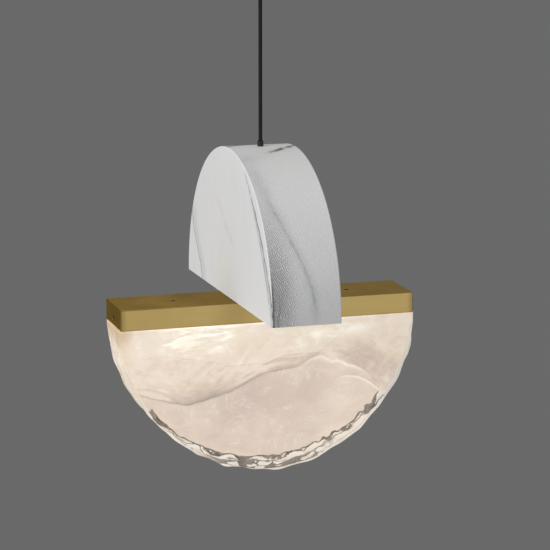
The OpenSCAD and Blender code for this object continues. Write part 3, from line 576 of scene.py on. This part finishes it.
def rim_veins(f, turn, cross, wander, fine_wander, broken):
    """Veins of the rim, as lines of cross over the turn, in degrees up from the block's foot."""
    # Vein that slants up across the rim
    slant = 9 - 34 * f.smooth(turn, 2, 57)
    slant_line = f.peak(cross - slant + fine_wander, 2.6) * f.between(turn, 9, 42, 9)
    slant_line = slant_line * (0.35 + broken * 0.4)
    slant_haze = f.peak(cross - slant + wander, 9) * f.between(turn, 6, 58, 12)
    # Haze and lines along the left edge
    left_haze = (1 - f.smooth(cross + wander, -33, -7)) * f.between(turn, -5, 9, 30)
    upper_haze = (1 - f.smooth(cross + wander, -33, -3)) * f.between(turn, 12, 72, 14)
    rim_edge = (1 - f.smooth(cross + fine_wander * 0.4, -33, -30.5)) * f.between(turn, -5, 8, 14)
    low_line = f.peak(cross + 29 - turn * 0.35 + fine_wander, 1.3) * (1 - f.smooth(turn, 5, 12))
    # Dark smudge near the top
    smudge = (turn - 79) * 3.6
    smudge_line = f.peak(cross - smudge + wander + fine_wander, 9) * f.between(turn, 79, 88, 3)
    smudge_line = smudge_line * f.smooth(cross, -10, 16) * (0.25 + broken * 0.75)
    smudge_haze = f.peak(cross - smudge + wander * 2, 26) * f.between(turn, 76, 87, 8)
    veins = slant_line * 0.15 + slant_haze * 0.07 + left_haze * 0.16 + upper_haze * 0.12
    return veins + rim_edge * 0.5 + low_line * 0.25 + smudge_line * 0.8 + smudge_haze * 0.06


def pressed_texture(f, turn, cross, wander):
    """Two crossing sets of fine waves pressed into the rim, deepest at its lower left."""
    arc = turn * (block_radius_mm * math.pi / 180)
    sway = f.sway(7, 16)
    first = f.sin((cross * 0.9 + arc * 0.44) * PRESSED_WAVES + sway)
    second = f.sin((cross * 0.44 - arc * 0.9) * PRESSED_WAVES - sway)
    zone = 0.1 + (1 - f.smooth(cross + wander, -26, 6)) * (1 - f.smooth(turn, 16, 60)) * 2.2
    return (first * 0.5 + second * 0.35) * zone + f.sway(1.1, 2.2)


def marbled_stone():
    """White with grey veins. The curved rim has a fine pressed texture."""
    f = Finish("marbled_stone")
    height = f.z - block_floor_mm
    turn = f.math("ARCTAN2", height, abs(f.y)) * (180 / math.pi)
    cross = f.x * f.sign(-f.y)
    on_face = f.smooth(abs(f.x), block_half_mm - 0.9, block_half_mm - 0.3)
    wander = f.sway(16, 7, 3)
    fine_wander = f.sway(7, 4.5, 4)
    broken = f.smooth(f.grain((9, 9, 9), 3), 0.36, 0.56)
    cloud = f.grain((60, 45, 70), 4) - 0.5
    on_rim = rim_veins(f, turn, cross, wander, fine_wander, broken)
    veins = on_rim + (face_veins(f, height, wander, fine_wander, broken) - on_rim) * on_face
    pressed = pressed_texture(f, turn, cross, wander) * (1 - on_face)
    # Painted shade on the rim, darker towards the block's foot; the rim's small darkening all over is
    # partly its own tone and partly painted shade
    lower = (1 - f.smooth(turn, 2, 60)) * 0.15
    shade = veins + cloud * 0.10 + (1 - on_face) * (0.03 + lower) + pressed * 0.085
    flat_grain = f.grain((0.6, 0.6, 0.6), 3) * 0.15
    return f.output(f.surface(Base_Color=f.ramp(shade, MARBLE_TONES),
                              Roughness=0.5 + cloud * 0.15 + (1 - on_face) * 0.12,
                              Normal=f.bump(pressed + flat_grain, PRESSED_DEPTH_MM)))


# Brass

BRASS_TONES = [(0.3, (0.62, 0.43, 0.15)), (0.5, (0.73, 0.53, 0.20)), (0.7, (0.84, 0.64, 0.27))]
SPUN_TONES = [(0.3, (0.60, 0.44, 0.17)), (0.7, (0.80, 0.62, 0.29))]
TURNED_TONES = [(0.3, (0.56, 0.41, 0.17)), (0.7, (0.82, 0.65, 0.33))]
BRASS_GRAZE = (0.96, 0.67, 0.25)
# Dark brass tone of the painted shade and shadow on the bar
BRASS_SHADE = (0.30, 0.20, 0.06)
BLOCK_SHADE = (0.15, 0.10, 0.035)
# The block's shade on the bar fades out between these distances from the block
SHADE_START_MM, SHADE_END_MM = 26, 74
# Width of the painted shade where the long sides round off
CORNER_SHADE_MM = 7


def brushed_brass():
    """Brass brushed along the bar; painted shade at its ends and on its top by the block; a painted
    shadow on its sides by the block.
    """
    f = Finish("brushed_brass")
    strokes = f.grain((40, 0.32, 0.32), 4)
    long_strokes = f.grain((120, 1.4, 1.4), 2)
    patches = f.grain((45, 30, 30), 2)
    from_middle = abs(f.x)
    on_top = f.smooth(f.z - bar_top_mm, -0.9, -0.2)
    on_end = f.smooth(from_middle, bar_end_mm - 0.9, bar_end_mm - 0.2)
    # Painted shade on the last millimetres of the long sides, where they round off into the ends
    corner_shade = f.smooth(from_middle, bar_end_mm - CORNER_SHADE_MM, bar_end_mm - 1)
    corner_shade = corner_shade * (1 - on_top) * (1 - on_end)
    # Painted shadow on the long sides beside the block's left face
    front_shadow = f.peak(f.x + 36, 30) * (1 - on_top) * 0.22
    colour = f.ramp(strokes * 0.5 + long_strokes * 0.10 + patches * 0.40, BRASS_TONES)
    # Painted corner shade, painted shadow and painted shade on the end faces, towards a dark brass tone
    colour = f.mix(corner_shade * 0.45 + front_shadow + on_end * 0.28, colour, BRASS_SHADE)
    rough = 0.38 + (strokes - 0.5) * 0.22 + (patches - 0.5) * 0.12
    rough = rough + on_top * (0.06 + f.smooth(f.x, 0, 60) * 0.22)
    brass = f.surface(Base_Color=colour, Metallic=1.0, Roughness=rough,
                      Normal=f.bump(strokes * 0.8 + long_strokes * 0.2, 0.05),
                      Specular_Tint=(*BRASS_GRAZE, 1))
    # A dark matt surface mixed in on the top near the block: painted shade
    matt = f.surface(Base_Color=BLOCK_SHADE, Roughness=0.7, Specular_IOR_Level=0.0)
    from_block = from_middle - block_half_mm
    near_block = (1 - f.smooth(from_block, SHADE_START_MM, SHADE_END_MM)) * on_top
    near_block = near_block * (1 - f.smooth(f.x, -5, 5))
    return f.output(f.mixed_shader(near_block * 0.8, brass, matt))


def ring_grain(f, width):
    """Fine rings round the Z axis, with a slow change along them, as turning leaves."""
    radius = f.root(f.x * f.x + f.y * f.y)
    angle = f.math("ARCTAN2", f.y, f.x)
    return f.grain((width, 3, width), 3, place=f.vector(radius, angle * 4, f.z))


def ringed_brass(name, ring_mm, ring_share, cloud_sizes, cloud_detail, tones, rough, depth_mm):
    """Turned or spun brass: fine rings over a cloudy tone."""
    f = Finish(name)
    rings = ring_grain(f, ring_mm)
    cloud = f.grain(cloud_sizes, cloud_detail)
    colour = f.ramp(rings * ring_share + cloud * (1 - ring_share), tones)
    return f.output(f.surface(Base_Color=colour, Metallic=1.0,
                              Roughness=rough + (rings - 0.5) * 0.2 + (cloud - 0.5) * 0.1,
                              Normal=f.bump(rings, depth_mm), Specular_Tint=(*BRASS_GRAZE, 1)))


# Plain finishes


def plated(name, dark, light, grain_mm, rough):
    """A plated or painted small metal part: a mottled tone, a fine grain and a little wear."""
    f = Finish(name)
    mottle = f.grain((grain_mm * 6,) * 3, 3)
    fine = f.grain((grain_mm,) * 3, 2)
    colour = f.ramp(mottle * 0.6 + fine * 0.4, [(0.3, dark), (0.7, light)])
    return f.output(f.surface(Base_Color=colour, Metallic=1.0, Roughness=rough + (mottle - 0.5) * 0.2,
                              Normal=f.bump(fine, 0.02)))


def coated(name, dark, light, grain_mm, rough, depth_mm):
    """A plastic, rubber, felt or painted surface with its grain."""
    f = Finish(name)
    mottle = f.grain((grain_mm * 14,) * 3, 2)
    fine = f.grain((grain_mm,) * 3, 3)
    colour = f.ramp(mottle * 0.5 + fine * 0.5, [(0.3, dark), (0.7, light)])
    return f.output(f.surface(Base_Color=colour, Roughness=rough + (fine - 0.5) * 0.2,
                              Normal=f.bump(fine, depth_mm)))


def earth_wire():
    """Green insulation with a yellow stripe that winds round it."""
    f = Finish("earth_wire")
    stripe = f.smooth(f.sin((f.x + f.y + f.z) * 1.3), -0.1, 0.1)
    fine = f.grain((0.5, 0.5, 0.5), 2)
    colour = f.mix(stripe, (0.05, 0.28, 0.05), (0.75, 0.62, 0.05))
    return f.output(f.surface(Base_Color=colour, Roughness=0.35 + (fine - 0.5) * 0.1,
                              Normal=f.bump(fine, 0.01)))


def led_board():
    """White solder mask with pale tracks between the chips."""
    f = Finish("white_board")
    tracks = f.between(abs(f.y), 3.2, 8.5, 0.3) * f.between(abs(f.x), 16, 138, 0.5)
    fine = f.grain((0.4, 0.4, 0.4), 2)
    colour = f.mix(tracks * 0.35, (0.83, 0.83, 0.81), (0.72, 0.74, 0.68))
    return f.output(f.surface(Base_Color=colour, Roughness=0.3 + (fine - 0.5) * 0.1,
                              Normal=f.bump(tracks + fine * 0.1, 0.04)))


def led_phosphor():
    """Yellow chips that are switched on."""
    f = Finish("led_phosphor")
    dots = f.grain((0.3, 0.3, 0.3), 2)
    colour = f.ramp(dots, [(0.3, (0.75, 0.52, 0.10)), (0.7, (0.92, 0.72, 0.22))])
    glow = f.ramp(dots, [(0.3, (1.0, 0.80, 0.50)), (0.7, (1.0, 0.90, 0.70))])
    return f.output(f.surface(Base_Color=colour, Roughness=0.4 + (dots - 0.5) * 0.2,
                              Emission_Color=glow, Emission_Strength=1.5))


def braided_yarn():
    """Black yarn. Fine fibres run along the strands."""
    f = Finish("braided_cord")
    fibres = f.grain((0.25, 0.25, 0.9), 2)
    worn = f.grain((4, 4, 9), 2)
    tones = [(0.3, (0.004, 0.004, 0.0045)), (0.7, (0.018, 0.018, 0.020))]
    return f.output(f.surface(Base_Color=f.ramp(fibres * 0.7 + worn * 0.3, tones),
                              Roughness=0.62 + (fibres - 0.5) * 0.3, Normal=f.bump(fibres, 0.08),
                              Specular_IOR_Level=0.25))


# Cast glass. In these finishes x runs along the glass, depth is counted down from the bar, and main
# is the height above the main layer's lower edge. A shade goes from 0, glowing, to 1, dark.

GLASS_TONES = [(0.0, (1.0, 0.99, 0.94)), (0.2, (1.0, 0.90, 0.76)), (0.42, (0.93, 0.785, 0.645)),
               (0.66, (0.73, 0.59, 0.495)), (1.0, (0.49, 0.405, 0.36))]
FACET_TONES = [(0.42, (1.0, 0.95, 0.85)), (0.56, (1.0, 0.88, 0.74)), (0.76, (0.82, 0.71, 0.59))]
STREAK_TONES = [(0.40, (0.075, 0.055, 0.04)), (0.62, (0.20, 0.165, 0.145))]
GOLDEN = (0.90, 0.74, 0.50)
FLECK_WHITE = (1.0, 0.93, 0.86)
PEACH = (1.0, 0.80, 0.55)
COOL_GREY = (0.78, 0.775, 0.75)
WARM_CREAM = (1.0, 0.84, 0.64)
BAR_SHADE_BROWN = (0.66, 0.48, 0.26)
GLOW_STRENGTH = 0.62
GLASS_BENDING = 1.45
STROKE_ARC_MM = 62
# Thick pieces of the rim's dark inner edge: degrees from the right end, thickness, spread each side
STREAKS = [(42, 7.5, 7), (54, 5.5, 7), (63, 4.5, 4), (75, 3, 4), (87, 6, 9), (101, 4.5, 5),
           (114, 4.5, 6), (141, 7, 8)]
# The rim's dark streaks lie between these angles from the right end
STREAKS_START, STREAKS_END = 35, 146


def sheet_strokes(f, x, depth, main):
    """Strokes that fan out from the middle of the bar, and strokes that flow along the main layer."""
    fan_x, fan_depth = x - 10, depth + 9
    fan_turn = f.math("ARCTAN2", fan_depth, -fan_x)
    fan_reach = f.root(fan_x * fan_x + fan_depth * fan_depth)
    fan = f.vector(fan_reach, fan_turn * STROKE_ARC_MM, f.y)
    flow = f.vector(x, depth / (main + depth) * STROKE_ARC_MM, f.y)
    fanned = f.grain((48, 5.5, 22), 5, place=fan, warp=0.8, roughness=0.6) - 0.5
    flowing = f.grain((38, 3.6, 14), 4, place=flow, warp=0.6, roughness=0.55) - 0.5
    return fanned * f.smooth(fan_reach, 26, 62), flowing


def sheet_folds(f, x, depth, main, flowing):
    """Folds of the sheet, and its dark stretch between the upper edge and the main layer's edge."""
    waver = f.sway(11, 3)
    crease = 28 + 14 * f.smooth(x, -115, -20) - 12 * f.smooth(x, -5, 35) - depth
    crease = crease + waver + f.sway(26, 7, 1)
    shade = f.peak(crease, 1.4) * 0.13 * f.between(x, -128, 8, 8)
    shade = shade + f.smooth(-crease, 0, 2) * 0.09 * f.between(x, -128, -62, 22)
    upper_edge = 68 - 34 * f.smooth(x, -70, 25) - 32 * f.smooth(x, 45, 100) - depth + waver * 0.5
    stretch = f.smooth(-upper_edge, -0.8, 1.2) * f.between(x, -22, 50, 14)
    shade = shade + stretch * (0.13 + flowing * 0.35)
    shade = shade + f.peak(upper_edge, 1.2) * 0.11 * f.between(x, -22, 76, 8)
    lilac = f.between(x, -96, 54, 12) * (1 - f.smooth(main, 3, 22))
    shade = shade + lilac * (0.07 + 0.34 * f.peak(x + 62, 50))
    shade = shade + lilac * (1 - f.smooth(main, 0, 5)) * 0.08
    # The fold at the left has the shape of a lens
    lens = 58 + f.square((x + 132) / 9.5) - depth + waver * 0.3
    lens_side = 43 + f.square((x + 122) / 6) - depth + waver * 0.4
    shade = shade + f.peak(lens, 2.4) * 0.12 * f.between(x, -136, -95, 4)
    side_shade = f.smooth(lens_side, -3, 2) * (1 - f.smooth(lens_side, 0, 9))
    return shade - side_shade * 0.06 * f.between(x, -108, -92, 8)


def sheet_ends(f, x, depth, folds):
    """Grey lobe at the right between paler parts, and painted shade of the bar at the left, just below
    it.
    """
    grey = f.peak(x - 94, 34) * f.peak(depth - 42, 26) + f.peak(x - 122, 30) * f.peak(depth - 60, 32)
    pale = f.peak(x - 90, 24) * f.peak(depth - 14, 12) * 0.20
    pale = pale + f.peak(x - 50, 48) * f.peak(depth - 16, 17) * 0.19
    corner = (1 - f.smooth(x, -150, -124)) * (1 - f.smooth(depth, 3, 20))
    return grey * (0.25 + folds * 0.4) - pale + corner * 0.14 + f.smooth(x, 30, 90) * 0.05


def sheet_glow(f, x, depth, patchy, swirl):
    """Glow of the light unit: crisp patches at the left, softer at the right, a line at the bar."""
    left = f.between(x, -104, -48, 28) * (1 - f.smooth(depth, 16, 42))
    hot = f.smooth(patchy + left * 0.13, 0.0, 0.32) * left
    right = f.between(x, -30, 100, 24) * (1 - f.smooth(depth, 3, 26))
    at_bar = 1 - f.smooth(depth, 0, 2.2)
    return left * 0.04 + hot * 0.31 + right * (0.09 + swirl * 0.2) + at_bar * 0.14


def sheet_shade(f, x, depth, main):
    """The sheet above the main layer's edge."""
    swirl = f.grain((30, 18, 24), 4, warp=1.2) - 0.5
    folds = f.grain((20, 11, 18), 5, warp=2.2, roughness=0.6) - 0.5
    fanned, flowing = sheet_strokes(f, x, depth, main)
    in_fan = f.smooth(main, 4, 20) * (1 - f.smooth(x, -30, 24)) * (0.3 + f.smooth(x, -95, -50) * 0.7)
    shade = 0.38 + swirl * 0.46 + folds * 0.34 + fanned * 0.62 * in_fan
    shade = shade + flowing * 0.42 * (1 - in_fan) * (1 - f.smooth(x, 60, 95) * 0.5)
    shade = shade + sheet_folds(f, x, depth, main, flowing) + sheet_ends(f, x, depth, folds)
    patchy = fanned * 0.9 + flowing * 0.8 + swirl * 0.9
    return shade - sheet_glow(f, x, depth, patchy, swirl)


def scoop_shade(f, x, depth, main):
    """The hollow below the main layer's edge, nearly even, with a fold at its right."""
    mist = f.grain((30, 24, 22), 4, warp=0.8) - 0.5
    middle = f.peak(x + 10, 95) * f.peak(depth - 72, 50)
    shade = 0.58 + mist * 0.32 + middle * 0.09 - f.smooth(x, 30, 90) * 0.09
    # Bright line under the main layer's edge
    shade = shade - f.peak(main + 1.3, 2.8) * f.between(x, 42, 88, 10) * 0.25
    shade = shade - (1 - f.smooth(-main, 0, 9)) * 0.05
    fold = 60 + f.square((x - 82) / 8) - depth + f.sway(9, 1.6)
    in_fold = f.smooth(x, 66, 92) * (1 - f.smooth(x, 112, 118))
    shade = shade + f.smooth(fold, -0.2, 0.8) * (1 - f.smooth(fold, 0, 9)) * 0.12 * in_fold
    return shade - f.peak(fold + 1.0, 1.9) * 0.28 * in_fold


def scoop_flecks(f):
    """Pale flecks in the scoop, upright and level, in patches."""
    upright = f.smooth(f.grain((4.2, 9, 9), 2, warp=0.7), 0.52, 0.74)
    level = f.smooth(f.grain((12, 12, 4.2), 2, warp=0.6), 0.54, 0.76)
    patches = f.smooth(f.grain((26, 16, 16), 1), 0.40, 0.60)
    return f.most(upright, level) * (0.10 + patches * 0.27)


def glass_face(f, x, depth):
    """Colour and shade of the face: a sheet, and the scoop below its edge."""
    waver = f.sway(8, 3.6, 3) + f.sway(24, 5, 1) + f.peak(x + 84, 12) * 2.5
    main = layer_edge(x, f.smooth) - depth + waver
    scoop = scoop_shade(f, x, depth, main)
    in_sheet = f.smooth(main, -0.4, 0.6)
    shade = scoop + (sheet_shade(f, x, depth, main) - scoop) * in_sheet
    shade = shade + f.peak(main, 1.2) * (1 - f.smooth(x, 6, 40)) * 0.28
    golden = f.smooth(f.grain((30, 18, 24), 3, warp=0.8), 0.46, 0.68) * f.smooth(main, 0, 8)
    face = f.mix(golden * 0.30, f.ramp(shade, GLASS_TONES), GOLDEN)
    return f.mix(scoop_flecks(f) * (1 - in_sheet), face, FLECK_WHITE), shade


class RimPlace:
    """A place in the rolled rim, and the noise that gives the rim's marks their shapes."""

    def __init__(self, f, x, depth):
        out = f.root(f.square(x / REACH_MM) + f.square(depth / DEPTH_MM))
        angle = f.math("ARCTAN2", depth, x)
        own_angle = f.math("ARCTAN2", depth, f.x)
        self.degrees = angle * (180 / math.pi)
        self.low = f.most(f.sin(angle), 0)
        lean = f.sin(own_angle * 2) * RIM_LEAN_MM
        roll = RIM_HIGH_MM + (RIM_LOW_MM - RIM_HIGH_MM) * f.math("POWER", self.low, ROLL_POWER) + lean
        # Millimetres over the rim, from where the face ends
        self.over = roll - (1 - out) * REACH_MM + THICK_MM / 2 - abs(f.y)
        arc = own_angle * REACH_MM
        run = f.vector(arc, self.over, f.y)
        # The inner edge goes in and out, most at the right, at uneven steps
        noise_sway = (f.grain((17, 9, 30), 3, place=run, roughness=0.55) - 0.5) * 8
        steps = f.sin(arc * 0.3 + f.sin(arc * 0.11) * 2.6)
        self.sway = noise_sway + steps * (1.3 - f.smooth(self.degrees, 58, 84) * 1.1)
        self.bent = self.over + self.sway - 0.4
        self.swayed = f.vector(arc, self.bent, f.y)
        self.rough = f.grain((5, 3.5, 30), 2, place=run)
        self.weight = f.grain((16, 7, 30), 2, place=self.swayed)
        self.cells = f.cell_edges((17, 7, 40), self.swayed)
        self.inside = f.smooth(self.bent, -0.2, 1.2)
        self.streaked = f.between(self.degrees, STREAKS_START, STREAKS_END, 1)


def inner_streaks(f, rim):
    """The rim's dark inner edge, thick in pieces that are hollow in places."""
    thick = 1.3 + sum(size * f.peak(rim.degrees - at, spread) for at, size, spread in STREAKS)
    thick = thick * (0.45 + rim.rough)
    hollow = f.smooth(rim.rough, 0.53, 0.64) * f.between(rim.bent, 1.4, 30, 0.5)
    hollow = hollow * f.smooth(thick, 2, 4)
    hollow = hollow * (1 - f.peak(rim.degrees - 41, 8)) * (1 - f.peak(rim.degrees - 141, 8))
    edge = f.smooth(rim.bent, -0.4, 0.4) * (1 - f.smooth(rim.bent - thick, -0.4, 0.6))
    return edge * (1 - hollow * 0.85)


def outer_net(f, rim):
    """A second dark line, and the net of dark lines outside it."""
    outer = rim.bent - 4.5 - f.peak(rim.degrees - 30, 22) * 4.5 - f.peak(rim.degrees - 80, 24) * 4.5
    outer = outer - f.peak(rim.degrees - 113, 9) * 3.5 + f.peak(rim.degrees - 122, 5) * 4
    outer = outer + f.peak(rim.degrees - 136, 6) * 4
    knots = f.between(rim.degrees, 74, 121, 8)
    width = 0.7 + f.smooth(rim.weight, 0.42, 0.65) * (0.6 + knots * 1.8)
    width = width + f.peak(rim.degrees - 38, 9) * 1.3
    net = 1 - f.smooth(rim.cells - f.smooth(rim.weight, 0.40, 0.62) * 0.30, 0.0, 0.08)
    net = net * f.smooth(outer, -1, 1) * (1 - f.smooth(rim.over, 17, 20))
    return f.most(f.peak(outer, width), net * f.smooth(rim.low, 0.84, 0.97))


def fine_lines(f, rim):
    """Thin lines along the outer part of the rim, and brown ones that wander at its left."""
    lines = f.peak(rim.over - 13 + rim.sway * 0.3, 0.7) * 0.6 * f.smooth(rim.low, 0.60, 0.8)
    lines = lines + f.peak(rim.over - 17 + rim.sway * 0.5, 0.9) * f.peak(rim.degrees - 38, 7) * 0.9
    wandering = f.peak(f.grain((40, 8, 30), 2, place=rim.swayed) - 0.5, 0.022)
    wandering = wandering * f.between(rim.bent, 3, 10, 1.5)
    return lines + wandering * f.smooth(rim.degrees, 96, 118) * 0.8


def side_lines(f, rim):
    """Fine lines that run along the glass's two ends, above where the streaks start."""
    lines = f.peak(rim.over - 8 + rim.sway * 0.8, 0.9) + f.peak(rim.over - 17 - rim.sway * 0.7, 0.8)
    lines = lines * (0.1 + f.smooth(rim.weight, 0.42, 0.60) * 0.3)
    lines = lines + f.peak(rim.bent - 1, 0.9) * 0.22
    return lines * (1 - rim.streaked) * rim.inside


def rim_facets(f, rim, depth):
    """The rim's facets, grey at the right end and cream at the left, and the left end's share."""
    facets = f.ramp(rim.weight, FACET_TONES)
    facets = f.mix(f.smooth(f.x, 96, 136) * 0.7, facets, COOL_GREY)
    left_end = (1 - f.smooth(f.x, -135, -85)) * rim.inside
    facets = f.mix(left_end * (0.8 - rim.streaked * 0.5), facets, WARM_CREAM)
    # Painted glints at both ends, above the streaks
    sparkle = f.smooth(rim.rough, 0.57, 0.64) * (1 - rim.streaked) * f.between(depth, 30, 90, 8)
    return f.mix(sparkle * f.smooth(rim.bent, 6, 10), facets, (1.0, 1.0, 1.0)), left_end


def cast_glass():
    """Cloudy cast glass that glows from the bar down, with a clearer rim and painted dark streaks where
    the surroundings show through it.
    """
    f = Finish("cast_glass")
    # The back has the same layers as the front, turned round
    x = f.x * f.sign(f.y) * -1
    depth = glass_top_mm - f.z
    face, shade = glass_face(f, x, depth)
    rim = RimPlace(f, x, depth)
    peach = f.between(rim.bent, -4, -0.5, 3) * rim.streaked * f.smooth(rim.weight, 0.42, 0.58)
    face = f.mix(peach * (1 - f.smooth(x, -30, 20) * 0.6) * 0.32, face, PEACH)
    facets, left_end = rim_facets(f, rim, depth)
    # The face's pattern shows through the rim, but not half way, where the front and the back meet
    half_way = 1 - f.smooth(abs(f.y), 4, 22)
    covered = 0.5 + rim.streaked * 0.35 + half_way * (1 - rim.streaked) * 0.5
    colour = f.mix(rim.inside * covered, face, facets)
    # Painted shadow and brass-coloured reflection of the bar, at the left end just below it
    corner = (1 - f.smooth(depth, 2, 26)) * (1 - f.smooth(f.x, -150, -134))
    colour = f.mix(corner * 0.7, colour, BAR_SHADE_BROWN)
    # Painted dark streaks and lines in the rim, standing in for the dark surroundings seen through the
    # clear glass
    dark = f.most(inner_streaks(f, rim), outer_net(f, rim), fine_lines(f, rim)) * rim.streaked
    dark = dark + side_lines(f, rim)
    colour = f.mix(dark * 0.95, colour, f.ramp(rim.weight, STREAK_TONES))
    # Where the face glows most it reflects most too
    dark_share = f.smooth(shade, -0.1, 0.34) * 0.55
    dark_share = dark_share + (0.5 - dark_share) * half_way * rim.inside + left_end * 0.05
    relief = f.bump(shade * 0.5 + rim.cells * rim.inside * (0.5 + rim.streaked * 1.5), 0.5)
    milky = f.surface(Base_Color=f.mix(dark_share, colour, (0, 0, 0)),
                      Roughness=0.32 - rim.inside * 0.2, Normal=relief, Coat_Weight=0.35,
                      Coat_Roughness=0.1, Emission_Color=colour, Emission_Strength=GLOW_STRENGTH)
    clear = f.surface(Base_Color=(0.96, 0.93, 0.88), Roughness=0.04, Transmission_Weight=1.0,
                      IOR=GLASS_BENDING)
    return f.output(f.mixed_shader(rim.inside * rim.streaked * 0.10, milky, clear))


# Which piece has which finish

# Dark and light tone, size of the grain, roughness, and the CAD nodes with that finish
PLATED = {
    "steel_screw": ((0.42, 0.42, 0.43), (0.62, 0.62, 0.64), 0.5, 0.3, [
        "driver_screws", "terminal_screws", "terminal_fixing_screw", "anchor_grub_screws",
        "stem_nuts", "stem_washers", "base_plate_screws", "board_screws"]),
    "zinc_steel": ((0.46, 0.47, 0.49), (0.66, 0.67, 0.70), 1.2, 0.38, [
        "ceiling_plate", "hanger_stem", "block_base_plate"]),
    "brass_screw": ((0.42, 0.30, 0.12), (0.60, 0.44, 0.19), 0.5, 0.32, [
        "canopy_side_screws", "earth_screw"]),
    "dark_screw": ((0.06, 0.045, 0.02), (0.14, 0.10, 0.05), 0.5, 0.55, [
        "bar_top_screws", "bar_end_screws"]),
    "aluminium": ((0.58, 0.59, 0.60), (0.74, 0.75, 0.77), 0.8, 0.42, ["glass_tray"]),
}
# Dark and light tone, size of the grain, roughness, depth of the grain, and the CAD nodes
COATED = {
    "black_metal": ((0.006, 0.006, 0.007), (0.018, 0.018, 0.019), 0.3, 0.42, 0.03, ["cord_ferrule"]),
    "black_rubber": ((0.02, 0.02, 0.02), (0.045, 0.045, 0.045), 0.5, 0.75, 0.05, ["grip_bush"]),
    "white_plastic": ((0.74, 0.74, 0.72), (0.82, 0.82, 0.80), 0.6, 0.45, 0.04, ["driver_case"]),
    "nylon": ((0.68, 0.68, 0.63), (0.78, 0.78, 0.73), 0.5, 0.4, 0.03, ["terminal_block"]),
    "thermal_pad": ((0.40, 0.43, 0.46), (0.52, 0.55, 0.58), 0.4, 0.7, 0.04, ["thermal_pads"]),
    "clear_silicone": ((0.70, 0.70, 0.68), (0.80, 0.80, 0.78), 1.5, 0.25, 0.08, ["glass_bond"]),
    "grey_felt": ((0.06, 0.06, 0.06), (0.15, 0.15, 0.15), 0.35, 0.92, 0.2, ["felt_pad"]),
    "black_wire": ((0.010, 0.010, 0.010), (0.03, 0.03, 0.03), 0.5, 0.35, 0.02, ["mains_leads"]),
    "red_wire": ((0.42, 0.02, 0.015), (0.58, 0.04, 0.03), 0.5, 0.35, 0.02, [
        "output_leads", "stem_leads"]),
    "white_wire": ((0.72, 0.72, 0.70), (0.82, 0.82, 0.80), 0.5, 0.35, 0.02, ["board_link_wire"]),
}


def paint(material, pieces):
    """Gives pieces or CAD nodes this one material."""
    for piece in pieces:
        if not piece.data.materials:
            piece.data.materials.append(material)
        for place in piece.material_slots:
            place.material = material


def paint_nodes(material, names):
    paint(material, [nodes[name] for name in names])


def paint_all():
    for name, (*look, names) in PLATED.items():
        paint_nodes(plated(name, *look), names)
    for name, (*look, names) in COATED.items():
        paint_nodes(coated(name, *look), names)
    paint_nodes(marbled_stone(), ["block_shell"])
    paint_nodes(brushed_brass(), ["bar_housing"])
    spun = ringed_brass("spun_brass", 0.5, 0.7, (35, 35, 20), 2, SPUN_TONES, 0.30, 0.04)
    paint_nodes(spun, ["canopy_cover"])
    turned = ringed_brass("turned_brass", 0.28, 0.6, (6, 6, 6), 3, TURNED_TONES, 0.24, 0.03)
    paint_nodes(turned, ["grip_body", "grip_locknut", "grip_nut", "cord_anchor"])
    paint_nodes(earth_wire(), ["earth_lead"])
    paint_nodes(led_board(), ["led_boards"])
    paint_nodes(led_phosphor(), ["led_chips"])
    paint(braided_yarn(), cord_pieces)
    paint(cast_glass(), [glass_piece])


paint_all()

# Floor, lamps and the grey behind the light

BACKDROP = (0.142, 0.142, 0.142)
SKY_LEVEL = 0.30
FLOOR_DROP = 1.05
FLOOR_RADIUS = 1.3
# Name, place, width, height and brightness of each lamp
LAMPS = [
    ("left_softbox", (-2.6, -1.1, 1.2), 1.6, 1.6, 8.3),
    ("front_softbox", (1.0, -2.9, -0.7), 2.2, 1.6, 0.75),
    ("top_softbox", (0.6, 1.2, 2.3), 2.0, 1.4, 0.7),
]


def floor():
    """A plain pale floor below the light, which fades out at its edge."""
    bm = bmesh.new()
    bmesh.ops.create_circle(bm, cap_ends=True, segments=96, radius=FLOOR_RADIUS)
    bmesh.ops.translate(bm, verts=bm.verts, vec=(0, 0, -FLOOR_DROP))
    piece = finished("floor", bm)
    f = Finish("pale_floor")
    radius = f.root(f.x * f.x + f.y * f.y)
    shown = 1 - f.smooth(radius, FLOOR_RADIUS / MM * 0.5, FLOOR_RADIUS / MM * 0.98)
    pale = f.surface(Base_Color=(0.62, 0.62, 0.62), Roughness=0.8)
    clear = f.node("ShaderNodeBsdfTransparent")
    paint(f.output(f.mixed_shader(shown, clear, pale)), [piece])


def backdrop():
    """The world: a plain grey to look at and in reflections, and a soft even light on the object."""
    world = bpy.data.worlds.new("studio")
    scene.world = world
    world.use_nodes = True
    sky = Nodes(world.node_tree)
    rays = sky.node("ShaderNodeLightPath").outputs
    seen = sky.most(rays["Is Camera Ray"], rays["Is Glossy Ray"], rays["Is Transmission Ray"])
    light = sky.node("ShaderNodeBackground", {}, {"Color": (1, 1, 1), "Strength": SKY_LEVEL})
    grey = sky.node("ShaderNodeBackground", {}, {"Color": BACKDROP})
    shown = sky.mixed_shader(seen, light, grey)
    sky.node("ShaderNodeOutputWorld", {}, {"Surface": shown.outputs[0]})


def soft_lamp(name, spot, width, height, brightness):
    """A soft box at a spot, turned to the light, whose face has this brightness."""
    data = bpy.data.lights.new(name, "AREA")
    data.shape = "RECTANGLE"
    data.size = width
    data.size_y = height
    data.energy = brightness * math.pi * width * height
    lamp = bpy.data.objects.new(name, data)
    middle = (cad_low + cad_high) / 2
    lamp.location = spot
    lamp.rotation_euler = (middle - Vector(spot)).to_track_quat("-Z", "Y").to_euler()
    lamp.visible_camera = False
    scene.collection.objects.link(lamp)


def studio():
    floor()
    backdrop()
    for lamp in LAMPS:
        soft_lamp(*lamp)


studio()
scene.view_settings.view_transform = "Standard"
